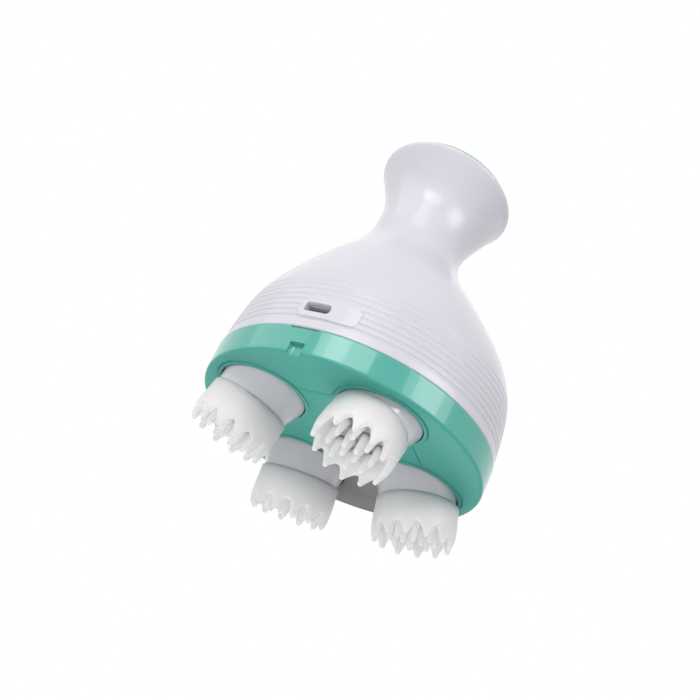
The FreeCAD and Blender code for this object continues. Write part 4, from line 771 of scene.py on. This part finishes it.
def claw_wall(depth, inset):
    """Radius of a claw's wall: swelling under the rim, drawn in and thinner towards the tips."""
    swell = CLAW_SWELL * step((depth - 1.0) / 6.0)
    belly = CLAW_RIM + swell - CLAW_DRAW * step((depth - CLAW_TAPER) / 5.4)
    return belly - inset * (1 - CLAW_THINNING * step((depth - CLAW_TAPER) / 5.0))


def claw_cup():
    """Cup and crown of one claw: socket, lip over the collar, outer wall, free edge, inner wall and floor.

    The free edge is rounded across the wall: R cos t to either side and R sin t along the edge's normal.
    """
    angle, edge, aside, down = claw_columns()
    flat = np.zeros_like(angle)
    level = [(0.0, SOCKET_DEPTH), (SOCKET_RADIUS, SOCKET_DEPTH), (SOCKET_RADIUS, CLAW_FIT),
             (LIP_RADIUS, CLAW_FIT), (LIP_RADIUS, LIP_RISE), *arc((13.1, -0.1), 0.4, -90, 0, 6)]
    rows = [(flat + radius, flat + depth, angle) for radius, depth in level]
    end = edge - EDGE_ROUND * down
    turned_back = angle - EDGE_ROUND * aside / CLAW_MEAN
    for share in np.linspace(0.05, 1.0, 20):
        depth = end * share
        rows.append((claw_wall(depth, 0.0), depth, angle + (turned_back - angle) * share ** 3))
    outside, inside = claw_wall(end, 0.0), claw_wall(end, CLAW_WALL)
    for turn in np.radians((20, 40, 60, 80, 100, 120, 140, 160)):
        rows.append(((outside + inside) / 2 + (outside - inside) / 2 * cos(turn),
                     end + EDGE_ROUND * down * sin(turn),
                     turned_back + EDGE_ROUND * aside / CLAW_MEAN * sin(turn)))
    fillet = CLAW_FLOOR + CLAW_FILLET
    for share in np.linspace(1.0, 0.12, 9):
        depth = fillet + (end - fillet) * share
        rows.append((claw_wall(depth, CLAW_WALL), depth, angle + (turned_back - angle) * share ** 3))
    foot = claw_wall(flat + fillet, CLAW_WALL) - CLAW_FILLET
    for turn in np.radians((0, 30, 60, 90)):
        rows.append((foot + CLAW_FILLET * cos(turn), flat + fillet - CLAW_FILLET * sin(turn), angle))
    rows.append((flat, flat + CLAW_FLOOR, angle))
    radius, depth, angle = (np.stack(part) for part in zip(*rows))
    return np.stack([radius * np.cos(angle), radius * np.sin(angle), depth], axis=-1)


def claw_pins():
    """Pins inside a crown: tapered stems with a flared foot and a round tip, in two rings."""
    profile = np.concatenate([[(0.0, 5.6), (2.1, 5.6)], arc((2.3, 7.1), 0.85, -115, -180, 5),
                              [(1.3, 8.5), (1.05, 10.5)], arc((0.0, 12.3), 0.9, 0, 90, 6)])
    pin = turned(profile, 20)
    pins = []
    for count, reach, first in PIN_RINGS:
        for angle in np.arange(count) * 2 * pi / count + first:
            pins.append(pin + [reach * cos(angle), reach * sin(angle), 0])
    return pins


def make_claw(head):
    """Silicone claw: the crown and its pins."""
    cup = claw_cup()
    # Marks for the painted glow: the cup's inner rows and all the pins get the paler painted colour.
    inner = [np.repeat(np.linspace(0, 1, len(cup)) > PAINTED_GLOW_ROWS, cup.shape[1])]
    points = []
    quads = []
    start = 0
    for part in [cup] + claw_pins():
        quads.append(fold_faces(*part.shape[:2]) + start)
        points.append(part.reshape(-1, 3))
        start += len(points[-1])
    inner.append(np.ones(start - len(inner[0])))
    place = head_axis(head, claw_axis(np.concatenate(points)))
    make_piece(f"crown_{head}", place, np.concatenate(quads), f"head_{head}", [f"claw_{head}"],
               "claw_silicone", crease=50, inner=np.concatenate(inner))


# Top of the handle

CAP_RADIUS = 21.6
CAP_STEP = 1.05
CAP_ROUND = 0.2
CAP_SKIRT = [(15.3, -1.0), (15.3, -4.5), (16.8, -4.5), (16.8, 0.06), (CAP_RADIUS, 0.06)]
HOLE_RADIUS = 7.12
HOLE_ROUND = 0.3
BUTTON_STEM = [(0.0, -3.85), (1.5, -3.85), (1.5, -2.25), (8.3, -2.25), (8.3, -1.05), (7.0, -1.05)]
BUTTON_FACE = 6.2
BUTTON_STEP = 0.75
BUTTON_DISH = 0.35


def make_cap():
    """Teal cap: a disc with a rounded edge on the handle's top, a button hole and a skirt in the handle."""
    profile = np.concatenate([
        CAP_SKIRT, arc((CAP_RADIUS - CAP_ROUND, CAP_STEP - CAP_ROUND), CAP_ROUND, 0, 90, 5),
        [(12.0, CAP_STEP)], arc((HOLE_RADIUS + HOLE_ROUND, CAP_STEP - HOLE_ROUND), HOLE_ROUND, 90, 180, 5),
        [(HOLE_RADIUS, -1.0)]])
    points = leaned(turned(profile, 160))
    quads = fold_faces(*points.shape[:2], wrap_rows=True)
    make_piece("cap", points, quads, "housing", ["top_cap"], "cap_teal", crease=40)


def make_button():
    """White button: a shallow dished face with a rounded edge, a flange and a stem.

    The dish is d (1 - (r / R)^2) deep at r from its middle.
    """
    face = np.linspace(BUTTON_FACE, 0.0, 9)
    dish = BUTTON_STEP - BUTTON_DISH * (1 - (face / BUTTON_FACE) ** 2)
    profile = np.concatenate([BUTTON_STEM, arc((6.6, 0.35), 0.4, 0, 90, 6), np.stack([face, dish], axis=-1)])
    points = leaned(turned(profile, 96))
    quads = fold_faces(*points.shape[:2])
    make_piece("button", points, quads, "button", ["power_button"], "button_white", crease=40)


make_shell()
make_ring()
make_plate()
make_pad()
for head in LEANS:
    make_collar(head)
    make_claw(head)
make_cap()
make_button()


# Stage, in metres

FLOOR_HALF = 4
FLOOR_Z = -0.0004
FLOOR_WHITE = 0.35
LIGHT_FROM_BELOW = 0.53
LIGHT_FROM_ABOVE = 0.29
LAMP_TARGET = Vector((0, 0, 0.06))
# Name, azimuth, elevation, distance, size and power of each lamp.
LAMPS = (
    ("left_box", 5, 25, 0.9, (0.64, 0.18), 1.6),
    ("left_strip", -1, 25, 0.9, (0.22, 0.18), 0.37),
    ("left_high", 5, 40, 0.9, (0.35, 0.25), 0.7),
    ("right_box", 75, 25, 0.9, (0.62, 0.3), 1.5),
    ("right_strip", 74, 25, 0.9, (0.34, 0.26), 0.85),
    ("left_fill", -50, 27, 0.9, (0.75, 0.45), 1.0),
    ("low_box", -30, -20, 0.9, (0.7, 0.3), 1.3),
    ("low_fill", 25, -32, 0.9, (0.6, 0.6), 1.0),
    ("top_box", -40, 70, 1.2, (1.6, 1.6), 1.2),
    ("back_box", 211, 58, 1.2, (1.6, 0.9), 0.8),
    ("under_box", 195, -50, 1.0, (1.0, 1.0), 4.3),
)
CAMERA_AZIMUTH = 31.126
CAMERA_ELEVATION = -26.642
CAMERA_ROLL = radians(26.359)
CAMERA_DISTANCE = 0.58195
CAMERA_TARGET = Vector((-0.011755, 0, BASE_Z + 0.033203))
CAMERA_LENS = 90.29


def bearing(azimuth, elevation):
    """Direction from the object, with azimuth 0 in front and 90 to the right, in degrees."""
    turn, rise = radians(azimuth), radians(elevation)
    return Vector((sin(turn) * cos(rise), -cos(turn) * cos(rise), sin(rise)))


def make_floor():
    """Pale floor, seen from above only, so that a view from below looks through it.

    The camera sees its lit colour mixed with white, so that it stays pale far from the lamps and keeps the
    shadow.
    """
    mesh = bpy.data.meshes.new("floor")
    corners = [(x * FLOOR_HALF, y * FLOOR_HALF, FLOOR_Z) for x, y in ((-1, -1), (1, -1), (1, 1), (-1, 1))]
    mesh.from_pydata(corners, [], [(0, 1, 2, 3)])
    finish = Finish("floor_white", Base_Color=(0.86, 0.86, 0.86, 1), Roughness=0.9, Specular_IOR_Level=0.0)
    white = finish.node("Emission", Color=(1, 1, 1, 1), Strength=1.0)
    seen = finish.node("LightPath", output="Is Camera Ray") * FLOOR_WHITE
    lit = finish.node("MixShader", _0=seen, _1=Value(finish, finish.shader.outputs[0]), _2=white)
    side = finish.node("NewGeometry", output="Backfacing")
    both = finish.node("MixShader", _0=side, _1=lit, _2=finish.node("BsdfTransparent"))
    finish.feed(finish.tree.nodes["Material Output"].inputs["Surface"], both)
    mesh.materials.append(finish.material)
    floor = bpy.data.objects.new("floor", mesh)
    bpy.context.scene.collection.objects.link(floor)
    floor.visible_shadow = False
    floor.visible_diffuse = False


def make_lamp(name, azimuth, elevation, distance, size, power):
    """Soft box at a bearing from the object, aimed at its middle."""
    lamp = bpy.data.lights.new(name, "AREA")
    lamp.shape = "RECTANGLE"
    lamp.size, lamp.size_y = size
    lamp.energy = power
    item = bpy.data.objects.new(name, lamp)
    way = bearing(azimuth, elevation)
    item.location = LAMP_TARGET + way * distance
    item.rotation_euler = way.to_track_quat("Z", "Y").to_euler()
    bpy.context.scene.collection.objects.link(item)


def make_world():
    """White behind the object for the camera, in mirrors and through glass; elsewhere a soft light.

    The soft light is stronger from below, as a lit white floor throws it back.
    """
    world = bpy.data.worlds.new("studio")
    world.use_nodes = True
    world.node_tree.nodes.clear()
    sky = Nodes(world.node_tree)
    rise = sky.node("SeparateXYZ", output=2, Vector=sky.node("TexCoord", output="Generated"))
    level = sky.node("MapRange", Value=rise, From_Min=-0.2, From_Max=0.2, To_Min=LIGHT_FROM_BELOW,
                     To_Max=LIGHT_FROM_ABOVE)
    light = sky.node("Background", Color=(1, 1, 1, 1), Strength=level)
    white = sky.node("Background", Color=(1, 1, 1, 1), Strength=1.0)
    straight, mirrored, through = (sky.node("LightPath", output=f"Is {kind} Ray")
                                   for kind in ("Camera", "Glossy", "Transmission"))
    seen = sky.math("MAXIMUM", sky.math("MAXIMUM", straight, mirrored), through)
    out = sky.tree.nodes.new("ShaderNodeOutputWorld")
    sky.feed(out.inputs["Surface"], sky.node("MixShader", _0=seen, _1=light, _2=white))
    bpy.context.scene.world = world


def make_camera():
    """Camera below the base, to the right of the port, rolled so that the handle leans to the right."""
    back = bearing(CAMERA_AZIMUTH, CAMERA_ELEVATION)
    side = Vector((cos(radians(CAMERA_AZIMUTH)), sin(radians(CAMERA_AZIMUTH)), 0))
    up = back.cross(side)
    right = side * cos(CAMERA_ROLL) + up * sin(CAMERA_ROLL)
    top = up * cos(CAMERA_ROLL) - side * sin(CAMERA_ROLL)
    lens = bpy.data.cameras.new("view")
    lens.sensor_width = 36
    lens.lens = CAMERA_LENS
    lens.clip_start = 0.01
    camera = bpy.data.objects.new("view", lens)
    place = CAMERA_TARGET + back * CAMERA_DISTANCE
    camera.matrix_world = Matrix.Translation(place) @ Matrix((right, top, back)).transposed().to_4x4()
    bpy.context.scene.collection.objects.link(camera)
    bpy.context.scene.camera = camera


make_floor()
make_world()
for lamp in LAMPS:
    make_lamp(*lamp)
make_camera()
bpy.context.scene.view_settings.view_transform = "Standard"
